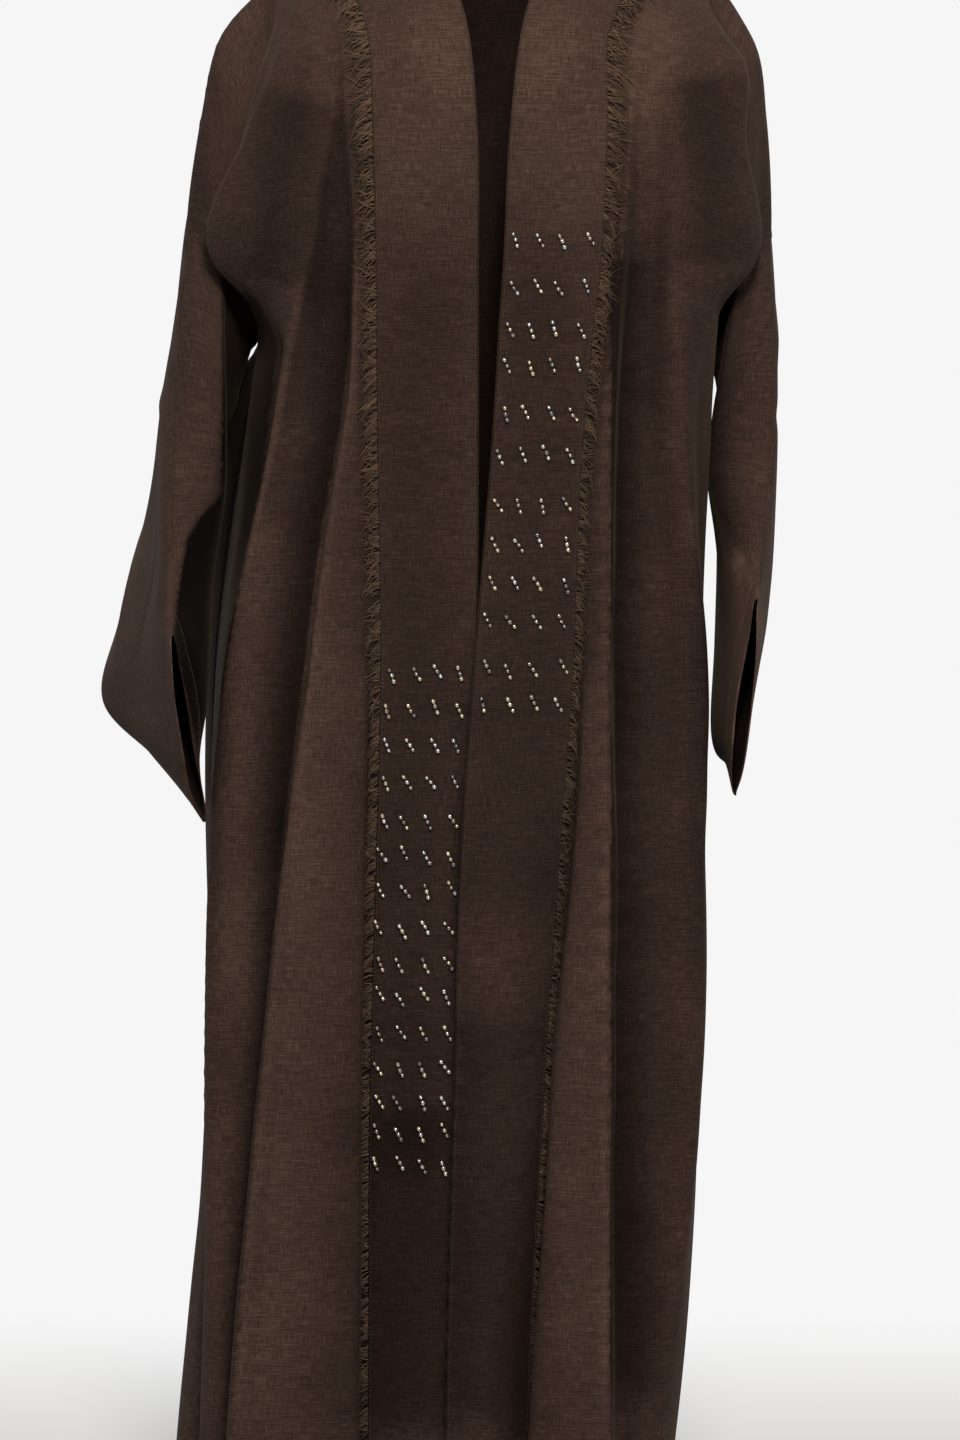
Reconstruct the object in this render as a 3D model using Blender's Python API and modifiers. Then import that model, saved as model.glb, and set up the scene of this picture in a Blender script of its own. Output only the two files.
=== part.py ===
"""Open-front abaya cloak, worn and hollow, as thin cloth panels.

Metres, +Z up. The front faces -Y and the wearer's right side is at -X.
The origin is at the middle of the neck, level with the top of the shoulders.
Names with _left and _right are as the viewer sees the front.
"""
import bpy
import bmesh
import numpy as np

MM = 0.001

# Cloth and gaps
CLOTH = 1.3 * MM
BAND_CLOTH = 2.0 * MM
STRIP_CLOTH = 1.0 * MM
SEAM_GAP = 0.5 * MM
ARMHOLE_GAP = 1.6 * MM
FOREARM_GAP = 1.0 * MM
SHOULDER_GAP = 0.5 * MM
LIE_GAP = 0.5 * MM

# Shoulders and neck
NECK_HALF = 62 * MM
SHOULDER_SLOPE = 0.31
SHOULDER_FADE = 200 * MM
NAPE_DROP = 12 * MM

# Fringe: number of locks a side, and the strip that carries them
LOCKS = 84
STRIP_WIDTH = 4.0 * MM
STRIP_LIFT = 1.2 * MM
LOCK_DROOP = 4.0 * MM
LOCK_LIFT = 3.0 * MM

# Drops below the shoulder line where rows of the mesh run
ARMHOLE_ROWS = (0, 4, 14, 30, 55, 90, 135, 185, 235, 280, 315, 338, 370)
SKIRT_ROWS = (388, 410, 450, 500, 560, 620, 680, 750, 830, 910, 990, 1070, 1150, 1230, 1310, 1400)

# Each row of these tables is a level section through the cloth, at a drop in millimetres
# below the shoulder line. Each column is a line that runs down the cloth, with its
# sideways place and its depth as x/y in millimetres.
# The numbers in STEPS are mesh steps between a line and the next, or from the band's last
# line on to each line of the folds.
BAND_COLUMNS = ("edge", "crown", "stitch", "floor", "step")
BAND_STEPS = (2, 2, 1, 1)
FOLD_COLUMNS = ("broad", "inner", "under", "middle", "outer", "tuck", "pouch", "curl", "seam")
FOLD_STEPS = (2, 2, 2, 2, 2, 2, 2, 2, 1)

# Mesh point at which the band is stitched down, counted from the front edge
STITCH_POINT = sum(BAND_STEPS[:BAND_COLUMNS.index("stitch")])

LEFT_BAND = """
0     -62/12    -106/12   -150/12    -154/12    -158/12
40    -42/-50   -86/-53   -130/-52   -135/-52   -140/-52
100   -24/-103  -68/-107  -111/-106  -118/-107  -124/-107
200   -13/-130  -58/-132  -104/-131  -111/-131  -117/-131
315   -12/-136  -56/-138  -101/-137  -107/-137  -111/-138
345   -12/-137  -56/-139  -100/-138  -106/-138  -111/-139
370   -12/-137  -56/-139  -100/-138  -106/-138  -111/-139
410   -12/-137  -56/-139  -100/-138  -106/-138  -111/-139
500   -12/-136  -55/-138  -99/-137   -105/-137  -111/-138
650   -12/-134  -54/-136  -97/-134   -104/-134  -110/-137
850   -15/-126  -58/-128  -102/-123  -111/-124  -110/-138
1050  -18/-122  -62/-124  -107/-118  -118/-119  -112/-144
1220  -20/-124  -64/-126  -108/-118  -119/-119  -113/-149
1400  -21/-126  -65/-128  -109/-120  -120/-121  -114/-154
"""

LEFT_FOLDS = """
0     -162/12    -166/12    -170/12    -174/12    -179/12    -184/12    -189/12   -193/12   -197/12
40    -145/-51   -150/-50   -155/-48   -160/-46   -166/-43   -175/-38   -184/-30  -191/-22  -197/-12
100   -129/-107  -134/-107  -139/-105  -145/-103  -152/-100  -172/-87   -197/-62  -203/-44  -198/-30
200   -121/-132  -126/-132  -131/-127  -137/-125  -146/-127  -182/-108  -219/-70  -218/-52  -203/-34
315   -114/-139  -118/-140  -125/-124  -141/-120  -163/-128  -198/-108  -238/-62  -234/-42  -212/-20
345   -115/-140  -119/-141  -126/-124  -143/-119  -169/-129  -187/-108  -204/-80  -213/-45  -213/-5
370   -115/-141  -120/-142  -126/-124  -144/-119  -173/-129  -181/-112  -190/-92  -204/-45  -211/10
410   -116/-142  -121/-143  -127/-123  -146/-118  -180/-127  -181/-104  -185/-80  -204/-40  -217/14
500   -122/-143  -134/-143  -136/-118  -160/-113  -199/-120  -197/-94   -201/-66  -216/-30  -232/16
650   -132/-144  -154/-145  -152/-114  -186/-106  -231/-100  -231/-78   -236/-52  -244/-18  -250/18
850   -145/-147  -181/-146  -176/-113  -212/-104  -249/-85   -251/-60   -254/-35  -255/-8   -254/20
1050  -157/-153  -202/-150  -196/-114  -228/-106  -252/-86   -254/-62   -256/-36  -257/-8   -256/22
1220  -165/-159  -217/-155  -210/-116  -238/-108  -254/-88   -251/-62   -262/-40  -268/-8   -266/24
1400  -172/-165  -230/-160  -222/-118  -247/-110  -258/-92   -255/-64   -276/-46  -287/-10  -284/26
"""

RIGHT_BAND = """
0     62/12     106/12   150/12    154/12    157/12
40    45/-50    87/-53   128/-52   134/-52   140/-52
100   28/-104   66/-108  104/-107  111/-108  118/-108
200   15/-130   58/-132  100/-131  107/-132  112/-132
315   9/-138    52/-140  94/-138   100/-138  104/-139
345   7/-139    49/-141  91/-139   97/-139   101/-140
370   5/-140    47/-142  88/-139   94/-139   99/-140
410   3/-140    44/-142  84/-139   90/-139   96/-140
500   -3/-140   37/-142  76/-138   82/-138   88/-139
650   -15/-141  28/-144  70/-136   76/-135   81/-138
850   -29/-139  14/-146  57/-128   66/-127   66/-141
1050  -35/-136  5/-146   43/-122   54/-121   50/-144
1220  -39/-137  -2/-147  34/-120   46/-119   37/-147
1400  -41/-138  -6/-148  28/-121   40/-120   27/-151
"""

RIGHT_FOLDS = """
0     161/12    165/12    169/12    174/12    179/12    184/12    189/12   193/12   197/12
40    145/-51   150/-50   155/-49   161/-47   168/-44   176/-38   185/-29  192/-21  197/-11
100   124/-107  130/-106  137/-103  147/-99   160/-94   188/-80   219/-56  221/-40  205/-28
200   115/-132  119/-132  127/-125  142/-121  161/-122  195/-100  223/-66  222/-48  206/-32
315   107/-141  110/-142  119/-122  136/-118  158/-124  196/-104  229/-62  226/-42  205/-22
345   104/-142  107/-143  116/-122  135/-117  159/-125  186/-100  203/-66  205/-36  196/-8
370   102/-142  105/-144  114/-120  134/-115  160/-126  184/-98   200/-60  196/-28  186/10
410   100/-143  103/-145  112/-119  134/-113  163/-126  182/-98   196/-60  192/-26  184/12
500   95/-143   102/-146  110/-117  135/-110  170/-123  180/-96   189/-58  188/-22  183/14
650   92/-145   102/-148  108/-115  140/-107  182/-108  183/-84   184/-50  185/-18  182/16
850   84/-149   102/-151  107/-114  145/-106  184/-96   188/-68   187/-40  188/-10  186/20
1050  76/-153   102/-155  107/-115  142/-107  178/-96   183/-68   182/-40  183/-10  181/22
1220  70/-157   102/-159  107/-116  138/-108  164/-96   171/-68   172/-40  174/-10  173/24
1400  65/-162   102/-164  107/-118  130/-108  141/-94   150/-68   156/-42  160/-10  160/26
"""

BACK_COLUMNS = ("seam_left", "side_left", "fold_1", "dip_1", "fold_2", "dip_2", "fold_3",
                "dip_3", "fold_4", "dip_4", "fold_5", "side_right", "seam_right")
BACK_STEPS = (2, 2, 2, 2, 2, 2, 2, 2, 2, 2, 2, 2)
NECK_COLUMNS = (BACK_COLUMNS.index("fold_2"), BACK_COLUMNS.index("fold_4"))
NECK_ROWS = 4

BACK = """
0    -197/12 -172/12  -134/12  -97/12   -62/12   -36/48  0/58    36/48  62/12  97/12   134/12  172/12 197/12
40   -198/34 -176/50  -140/62  -106/70  -74/74   -38/78  0/82    38/78  74/74  106/70  140/62  176/50 198/34
100  -190/48 -172/76  -140/92  -110/99  -78/103  -40/105 0/106   40/105 78/103 110/99  140/92  174/76 193/48
200  -192/62 -176/92  -146/110 -114/115 -80/119  -42/117 -2/118  40/117 78/119 110/116 144/110 178/92 196/62
315  -205/48 -192/86  -156/112 -120/113 -84/123  -44/116 -4/121  38/116 78/123 112/114 146/112 186/86 199/48
345  -211/30 -198/78  -158/112 -121/112 -85/123  -45/115 -5/120  38/115 78/123 112/113 146/111 184/78 193/30
370  -211/10 -206/66  -160/110 -122/110 -86/123  -46/113 -5/120  38/113 78/123 112/111 146/110 180/66 186/10
410  -217/14 -226/62  -162/109 -123/108 -87/122  -46/111 -6/119  37/111 77/122 111/109 145/108 178/66 184/12
500  -232/16 -252/62  -168/109 -126/104 -90/122  -48/107 -8/119  35/107 76/122 110/105 144/107 176/68 183/14
650  -250/18 -260/72  -182/118 -134/106 -98/130  -54/109 -14/127 31/109 74/130 109/107 145/114 177/72 182/16
850  -254/20 -257/84  -192/130 -140/111 -108/141 -62/114 -22/138 24/114 68/141 106/112 144/124 179/80 186/20
1050 -256/22 -254/92  -200/142 -146/117 -116/152 -70/119 -30/148 18/119 62/152 102/117 142/134 176/86 181/22
1220 -266/24 -266/98  -212/150 -154/121 -126/161 -80/123 -42/157 8/123  50/161 92/121  132/142 167/92 173/24
1400 -284/26 -286/106 -232/160 -168/126 -142/170 -94/128 -58/166 -6/128 36/170 78/126  118/150 154/98 160/26
"""

# Each row is a ring round the arm, from the armhole to the cuff. Each column is a line
# that runs along the sleeve, as x/y/z in millimetres: the pressed crease over the arm,
# the front ridge, the side next to the body, the underarm line, the back and the outer side.
RING_STEPS = 4

LEFT_SLEEVE = """
-244/10/-92     -222/-24/-150   -224/-28/-245  -219/12/-379    -222/70/-280    -236/68/-150
-262/10/-165    -236/-24/-205   -231/-28/-290  -223/20/-393    -240/76/-313    -259/66/-215
-273/4/-245     -242/-30/-275   -237/-27/-340  -229/30/-412    -260/78/-352    -280/52/-285
-279/-16/-340   -240/-46/-365   -241/-18/-398  -244/46/-448    -282/72/-412    -291/25/-368
-281/-46/-427   -239/-58/-440   -244/-16/-465  -288/64/-505    -306/62/-478    -303/14/-445
-281/-72/-505   -241/-66/-507   -247/-28/-545  -318/66/-560    -322/46/-540    -305/-6/-520
-279/-98/-566   -259/-86/-566   -250/-45/-610  -337/58/-630    -337/30/-612    -307/-30/-585
-277/-112/-600  -262/-96/-612   -251/-58/-665  -351/44/-698    -347/16/-678    -308/-57/-635
-276/-122/-620  -263/-104/-642  -252/-78/-715  -282/-60/-752   -314/-40/-722   -298/-88/-670
-276/-131/-638  -263/-110/-668  -251/-98/-742  -249/-101/-799  -260/-126/-768  -271/-138/-703
"""

RIGHT_SLEEVE = """
237/10/-100    220/-26/-150   215/-28/-240  196/12/-379   212/70/-280    226/68/-150
246/10/-165    229/-27/-205   212/-24/-290  201/20/-393   224/76/-313    240/66/-215
249/4/-240     228/-31/-270   211/-18/-350  206/30/-411   232/78/-352    250/52/-280
250/-10/-335   214/-36/-354   203/-10/-406  210/46/-446   238/76/-405    255/28/-365
248/-34/-427   199/-38/-432   200/-8/-465   213/60/-510   236/72/-465    254/12/-440
243/-62/-495   194/-48/-492   203/0/-535    212/61/-590   232/58/-540    252/-4/-505
238/-88/-548   207/-74/-545   204/-6/-600   208/50/-665   228/40/-620    249/-24/-570
233/-107/-578  216/-90/-588   204/-30/-655  203/18/-734   222/4/-695     244/-54/-622
231/-118/-594  217/-99/-614   202/-60/-700  213/-36/-752  230/-56/-712   238/-90/-648
229/-130/-607  216/-107/-638  205/-88/-700  215/-97/-778  230/-122/-748  230/-138/-672
"""

# Places of the mesh rings along a sleeve, and the one at which the lower part of the wide
# sleeve starts
SLEEVE_STATIONS = (0, 0.3, 1, 2, 3, 4, 5, 6, 6.5, 7, 7.5, 8, 8.5, 9, 9.4, 9.7, 10)
PARTED_SLEEVE = "left"
FOREARM_RING = SLEEVE_STATIONS.index(6)

# Length of the fringe locks past their strip, at each drop, in millimetres
LOCK_LENGTHS = ((0, 12), (250, 9), (600, 9), (850, 5), (1400, 5))

# Colour, roughness and sheen of the cloth, as the pieces show it
LINEN = (0.060, 0.037, 0.026, 1.0)
LINEN_DARK = (0.045, 0.027, 0.019, 1.0)
LINEN_ROUGHNESS = 0.9


def read_table(text):
    """The rows of a table as numbers: the pairs or triples of each row, and its first column."""
    drops = []
    rows = []
    for line in text.strip().splitlines():
        cells = line.split()
        if "/" not in cells[0]:
            drops.append(float(cells.pop(0)) * MM)
        rows.append([[float(v) * MM for v in cell.split("/")] for cell in cells])
    return np.array(drops), np.array(rows)


def tangents(t, p):
    """Slopes of a smooth curve through the points p at the parameters t."""
    h = np.diff(t)[:, None]
    d = np.diff(p, axis=0) / h
    m = np.empty_like(p)
    m[0] = d[0]
    m[-1] = d[-1]
    m[1:-1] = (d[:-1] * h[1:] + d[1:] * h[:-1]) / (h[:-1] + h[1:])
    return m


def hermite(t, p, m, at):
    """Points of the curve with slopes m at the parameters in at."""
    i = np.clip(np.searchsorted(t, at, side="right") - 1, 0, len(t) - 2)
    h = (t[i + 1] - t[i])[:, None]
    u = ((at - t[i]) / (t[i + 1] - t[i]))[:, None]
    return ((2 * u ** 3 - 3 * u ** 2 + 1) * p[i] + (u ** 3 - 2 * u ** 2 + u) * h * m[i]
            + (3 * u ** 2 - 2 * u ** 3) * p[i + 1] + (u ** 3 - u ** 2) * h * m[i + 1])


def through(points, steps, before=None, after=None):
    """A smooth curve through points, with a number of steps for each stretch.

    The points before and after only steer how the curve leaves its ends.
    """
    p = [np.asarray(q, float) for q in points]
    first = 0
    if before is not None:
        p.insert(0, np.asarray(before, float))
        first = 1
    if after is not None:
        p.append(np.asarray(after, float))
    p = np.array(p)
    gaps = np.sqrt(np.linalg.norm(np.diff(p, axis=0), axis=1))
    t = np.concatenate([[0.0], np.cumsum(gaps)])
    at = [t[first]]
    for k, count in enumerate(steps):
        a = t[first + k]
        b = t[first + k + 1]
        at.extend(a + (b - a) * (j + 1) / count for j in range(count))
    return hermite(t, p, tangents(t, p), np.array(at))


def shoulder_height(x, has_nape):
    """Height of the shoulder line at x, which falls away from the neck."""
    height = -SHOULDER_SLOPE * np.maximum(0.0, np.abs(x) - NECK_HALF)
    if has_nape:
        height -= NAPE_DROP * (1 - np.minimum(1.0, np.abs(x) / NECK_HALF) ** 2)
    return height


def guide_lines(tables, has_nape=False):
    """The lines of section tables, each with a point for every drop in the mesh."""
    drops = read_table(tables[0])[0]
    rows = np.hstack([read_table(table)[1] for table in tables])
    fade = np.maximum(0.0, 1 - drops / SHOULDER_FADE)[:, None]
    height = shoulder_height(rows[:, :, 0], has_nape) * fade - drops[:, None]
    points = np.dstack([rows, height])
    over = 2 * points[0] - points[1]
    over[:, 2] = points[1][:, 2]
    t = np.concatenate([[-drops[1]], drops])
    at = np.array(ARMHOLE_ROWS + SKIRT_ROWS) * MM
    lines = []
    for k in range(points.shape[1]):
        p = np.vstack([over[k], points[:, k]])
        lines.append(hermite(t, p, tangents(t, p), at))
    return np.stack(lines, axis=1)


def close_up(grid, gap, line):
    """Draws one border of a grid back from the seam that it lies on."""
    edge, inner = {"first_row": (grid[0], grid[1]), "last_row": (grid[-1], grid[-2]),
                   "first_column": (grid[:, 0], grid[:, 1]),
                   "last_column": (grid[:, -1], grid[:, -2])}[line]
    way = inner - edge
    edge += way / np.linalg.norm(way, axis=-1, keepdims=True) * gap


def panel_grid(lines, steps, before, after, corners=(), corner_rows=0):
    """Rows of points across a panel, through its lines.

    The first corner_rows rows turn sharply where they cross the lines in corners.
    """
    rows = []
    last = len(steps)
    for k, line in enumerate(lines):
        ends = (0, *corners, last) if k < corner_rows else (0, last)
        row = []
        for a, b in zip(ends[:-1], ends[1:]):
            lead = before[k] if before is not None and a == 0 else None
            trail = after[k] if b == last else None
            piece = through(line[a:b + 1], steps[a:b], lead, trail)
            row.extend(piece if a == 0 else piece[1:])
        rows.append(row)
    return np.array(rows)


def grid_normals(grid, flip):
    """Outward directions at the points of a grid."""
    across = np.gradient(grid, axis=1)
    down = np.gradient(grid, axis=0)
    n = np.cross(across, down)
    n /= np.linalg.norm(n, axis=-1, keepdims=True)
    return -n if flip else n


def cloth_material(name, colour):
    """A matt, slightly soft cloth in one colour."""
    material = bpy.data.materials.new(name)
    material.use_nodes = True
    shader = material.node_tree.nodes["Principled BSDF"]
    shader.inputs["Base Color"].default_value = colour
    shader.inputs["Roughness"].default_value = LINEN_ROUGHNESS
    shader.inputs["Metallic"].default_value = 0.0
    return material


def add_object(name, bm, colour, collection):
    """A named object with its own material, from a finished mesh."""
    mesh = bpy.data.meshes.new(name)
    bm.to_mesh(mesh)
    bm.free()
    piece = bpy.data.objects.new(name, mesh)
    piece.data.materials.append(cloth_material(name + "_cloth", colour))
    collection.objects.link(piece)
    return piece


def cloth_sheet(name, grid, thickness, flip, colour, collection, closed=False):
    """A wall of cloth: the surface through a grid, thickened towards the hollow."""
    rows, columns = grid.shape[:2]
    bm = bmesh.new()
    verts = [[bm.verts.new(p) for p in row] for row in grid]
    stretch = columns if closed else columns - 1
    for r in range(rows - 1):
        for c in range(stretch):
            d = (c + 1) % columns
            loop = [verts[r][c], verts[r][d], verts[r + 1][d], verts[r + 1][c]]
            if flip:
                loop.reverse()
            bm.faces.new(loop)
    piece = add_object(name, bm, colour, collection)
    wall = piece.modifiers.new("cloth", "SOLIDIFY")
    wall.thickness = thickness
    wall.offset = -1.0
    return piece


def sleeve_rings(text):
    """The rings of a sleeve, each as points round the arm from the crease."""
    rings = read_table(text)[1]
    rounds = []
    for ring in rings:
        looped = np.vstack([ring, ring[:1]])
        rounds.append(through(looped, (RING_STEPS,) * len(ring), ring[-1], ring[1])[:-1])
    return np.array(rounds)


def sleeve_grid(first_ring, inside_ring, rings):
    """Points of a sleeve from the armhole to the cuff, station by station."""
    stack = np.concatenate([[inside_ring], [first_ring], rings])
    t = np.concatenate([[-0.5], np.arange(len(rings) + 1)])
    at = np.array(SLEEVE_STATIONS, float)
    grid = np.empty((len(at), stack.shape[1], 3))
    for k in range(stack.shape[1]):
        p = stack[:, k]
        grid[:, k] = hermite(t, p, tangents(t, p), at)
    close_up(grid, ARMHOLE_GAP / 2, "first_row")
    return grid


def band_grid(grid, normals):
    """The front band: the panel's own points up to the stitching, moved out."""
    lift = LIE_GAP + BAND_CLOTH
    return (grid + normals * lift)[:, :STITCH_POINT + 1]


def along_row(grid, normals, row, reach):
    """The point and outward direction at a distance past the stitching, between rows."""
    k = min(int(row), len(grid) - 2)
    found = []
    for r in (k, k + 1):
        line = grid[r, STITCH_POINT:]
        out = normals[r, STITCH_POINT:]
        run = np.concatenate([[0.0], np.cumsum(np.linalg.norm(np.diff(line, axis=0), axis=1))])
        point = [np.interp(reach, run, line[:, a]) for a in range(3)]
        way = [np.interp(reach, run, out[:, a]) for a in range(3)]
        found.append((np.array(point), np.array(way)))
    f = row - k
    point = found[0][0] * (1 - f) + found[1][0] * f
    way = found[0][1] * (1 - f) + found[1][1] * f
    return point, way / np.linalg.norm(way)


def row_at_drop(drop):
    """The place of a drop among the rows of the mesh."""
    drops = np.array(ARMHOLE_ROWS + SKIRT_ROWS) * MM
    return float(np.interp(drop, drops, np.arange(len(drops))))


def add_fringe(name, grid, normals, flip, collection):
    """Frayed edge: a narrow strip beside the band with tapering locks fused to it."""
    bm = bmesh.new()
    low, high = STRIP_LIFT, STRIP_LIFT + STRIP_CLOTH
    drops = np.array(ARMHOLE_ROWS + SKIRT_ROWS) * MM
    lengths = np.array(LOCK_LENGTHS) * MM
    lines = []
    places = np.linspace(drops[0] + SHOULDER_GAP, drops[-1], 2 * LOCKS + 1)
    for drop in places:
        row = row_at_drop(drop)
        root, out = along_row(grid, normals, row, SEAM_GAP)
        rim, rim_out = along_row(grid, normals, row, SEAM_GAP + STRIP_WIDTH)
        lines.append([bm.verts.new(p) for p in (root + out * low, root + out * high,
                                                rim + rim_out * high, rim + rim_out * low)])
    faces = [lines[0], lines[-1][::-1]]
    for k in range(2 * LOCKS):
        a, b = lines[k], lines[k + 1]
        for i, j in ((0, 1), (1, 2), (3, 0)):
            faces.append([a[j], a[i], b[i], b[j]])
        if k % 2:
            faces.append([a[3], a[2], b[2], b[3]])
            continue
        drop = min((places[k] + places[k + 1]) / 2 + LOCK_DROOP, drops[-1] - MM)
        reach = SEAM_GAP + STRIP_WIDTH + float(np.interp(drop, lengths[:, 0], lengths[:, 1]))
        point, way = along_row(grid, normals, row_at_drop(drop), reach)
        tip = bm.verts.new(point + way * LOCK_LIFT)
        rim = [a[3], a[2], b[2], b[3]]
        for i in range(4):
            faces.append([rim[i], rim[(i + 1) % 4], tip])
    for loop in faces:
        bm.faces.new(loop if flip else loop[::-1])
    bmesh.ops.recalc_face_normals(bm, faces=bm.faces[:])
    return add_object(name, bm, LINEN_DARK, collection)


def build():
    """Makes every piece of the cloak."""
    for old in list(bpy.data.objects):
        bpy.data.objects.remove(old, do_unlink=True)
    collection = bpy.data.collections.new("abaya_cloak")
    bpy.context.scene.collection.children.link(collection)

    fronts = {"left": guide_lines((LEFT_BAND, LEFT_FOLDS)),
              "right": guide_lines((RIGHT_BAND, RIGHT_FOLDS))}
    back = guide_lines((BACK,), has_nape=True)
    rings = {"left": sleeve_rings(LEFT_SLEEVE), "right": sleeve_rings(RIGHT_SLEEVE)}
    back_ends = {"left": (0, 1), "right": (-1, -2)}
    split = len(ARMHOLE_ROWS)
    half = split - 1
    side_gaps = np.full((split + len(SKIRT_ROWS), 1), SEAM_GAP / 2)
    side_gaps[:split] = ARMHOLE_GAP / 2

    back_steer = {}
    for side, flip in (("left", False), ("right", True)):
        front = fronts[side]
        edge, inward = back_ends[side]
        ring = rings[side][0]
        around = len(ring)
        seam = (front[half:, -1] + back[half:, edge]) / 2
        front[half:, -1] = seam
        back[half:, edge] = seam
        steer = np.vstack([ring[:half], back[half:, inward]])
        back_steer[side] = np.vstack([ring[[-k % around for k in range(half)]],
                                      front[half:, -2]])
        grid = panel_grid(front, BAND_STEPS + FOLD_STEPS, None, steer)
        close_up(grid, side_gaps, "last_column")
        close_up(grid, SHOULDER_GAP / 2, "first_row")
        normals = grid_normals(grid, flip)
        cloth_sheet("front_" + side, grid, CLOTH, flip, LINEN, collection)
        cloth_sheet("band_" + side, band_grid(grid, normals), BAND_CLOTH, flip, LINEN, collection)
        add_fringe("fringe_" + side, grid, normals, flip, collection)

        armhole = np.vstack([front[:split, -1], back[1:half, edge][::-1]])
        inside = np.vstack([front[:split, -2], back[1:half, inward][::-1]])
        straight = np.abs(inside[:, :1]) > np.abs(armhole[:, :1])
        straight[half] = True
        inside = np.where(straight, 2 * armhole - ring, inside)
        tubes = {"sleeve_" + side: sleeve_grid(armhole, inside, rings[side])}
        if side == PARTED_SLEEVE:
            whole = tubes["sleeve_" + side]
            lower = whole[FOREARM_RING:].copy()
            upper = whole[:FOREARM_RING + 1]
            close_up(upper, FOREARM_GAP / 2, "last_row")
            close_up(lower, FOREARM_GAP / 2, "first_row")
            tubes = {"sleeve_" + side: upper, "forearm_" + side: lower}
        for name, tube in tubes.items():
            cloth_sheet(name, tube, CLOTH, not flip, LINEN, collection, closed=True)

    grid = panel_grid(back, BACK_STEPS, back_steer["left"], back_steer["right"],
                      NECK_COLUMNS, NECK_ROWS)
    close_up(grid, side_gaps, "first_column")
    close_up(grid, side_gaps, "last_column")
    close_up(grid, SHOULDER_GAP / 2, "first_row")
    cloth_sheet("back", grid, CLOTH, False, LINEN, collection)


build()
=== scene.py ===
"""Dressed scene of the open-front abaya cloak in brown linen.

Metres, +Z up. The front faces -Y. Names with _left and _right are as the viewer sees the front.
Each cloth piece is a fine shell on the same sections as its solid, with the smaller creases,
and carries its beads, stitching and frayed threads.
"""

import bpy
import numpy as np
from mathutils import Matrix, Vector


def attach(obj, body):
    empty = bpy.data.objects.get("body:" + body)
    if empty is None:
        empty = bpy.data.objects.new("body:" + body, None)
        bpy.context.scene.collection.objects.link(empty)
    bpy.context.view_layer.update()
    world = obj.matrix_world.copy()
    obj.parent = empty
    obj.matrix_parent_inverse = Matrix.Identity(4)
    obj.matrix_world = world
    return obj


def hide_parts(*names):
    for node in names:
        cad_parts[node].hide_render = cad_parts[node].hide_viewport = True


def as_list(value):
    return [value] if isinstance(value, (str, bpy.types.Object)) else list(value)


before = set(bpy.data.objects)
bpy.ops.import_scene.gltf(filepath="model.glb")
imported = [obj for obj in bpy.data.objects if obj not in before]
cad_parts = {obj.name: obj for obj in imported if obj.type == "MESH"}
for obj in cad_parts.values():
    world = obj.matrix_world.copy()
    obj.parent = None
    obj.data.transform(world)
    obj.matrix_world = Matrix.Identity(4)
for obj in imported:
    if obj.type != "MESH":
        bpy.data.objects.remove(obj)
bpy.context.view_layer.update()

MM = 0.001
BODY = "root"
SIDES = ("left", "right")

# Cloth, its hems and its meshes. FINE and SLEEVE_FINE are the fine steps in each step between
# the lines of the sections, and STATION_STEPS those between two rings of a sleeve.
CLOTH = 1.3 * MM
BAND_CLOTH = 2.0 * MM
HEM = 22.0 * MM
CUFF_HEM = 20.0 * MM
LIE_GAP = 0.5 * MM
ROW_SPACING = 5.0 * MM
FINE = 5
SLEEVE_FINE = 5
STATION_STEPS = 13
SLEEVE_LINES = 6
SLEEVE_PLACES = 10
BAND_YARN_SHIFT = 3.0

# The left sleeve is one cloth over two solids
PARTED = {"sleeve_left": ("sleeve_left", "forearm_left")}

# Slight unevenness of the cloth: wave lengths in metres, and their height as a share of them
WAVE_LENGTHS = (0.21, 0.15, 0.11, 0.08, 0.06, 0.045)
WAVE_HEIGHT = 0.006
WAVE_SEEDS = {"front_left": 3, "front_right": 4, "sleeve_left": 5, "sleeve_right": 6, "back": 7}

# Over this distance creases fade in from a seam. Beside its stitching the cloth is drawn in,
# to this depth and width. The edges of a band round over.
SEAM_FADE = 16 * MM
PINCH_DEPTH = 0.9 * MM
PINCH_WIDTH = 2.2 * MM
BAND_ROLL = 1.6 * MM
BAND_ROLL_DEPTH = 0.7 * MM

# Stitches, and how far those of a band lie from its front and outer edges
STITCH_PITCH = 3.2 * MM
STITCH_LENGTH = 2.2 * MM
STITCH_RADIUS = 0.32 * MM
STITCH_RISE = (-0.3, 0.22, 0.22, -0.3)
STITCH_FROM_EDGE = 3.0 * MM
STITCH_FROM_OUTER = 2.5 * MM

# Shoulders and neck
NECK_HALF = 62 * MM
SHOULDER_SLOPE = 0.31
SHOULDER_FADE = 200 * MM
NAPE_DROP = 12 * MM

# Drops below the shoulder line that set the armhole and the skirt
ARMHOLE_ROWS = (0, 4, 14, 30, 55, 90, 135, 185, 235, 280, 315, 338, 370)
SKIRT_ROWS = (388, 410, 450, 500, 560, 620, 680, 750, 830, 910, 990, 1070, 1150, 1230, 1310, 1400)
SECTION_DROPS = np.array(ARMHOLE_ROWS + SKIRT_ROWS) * MM

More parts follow.
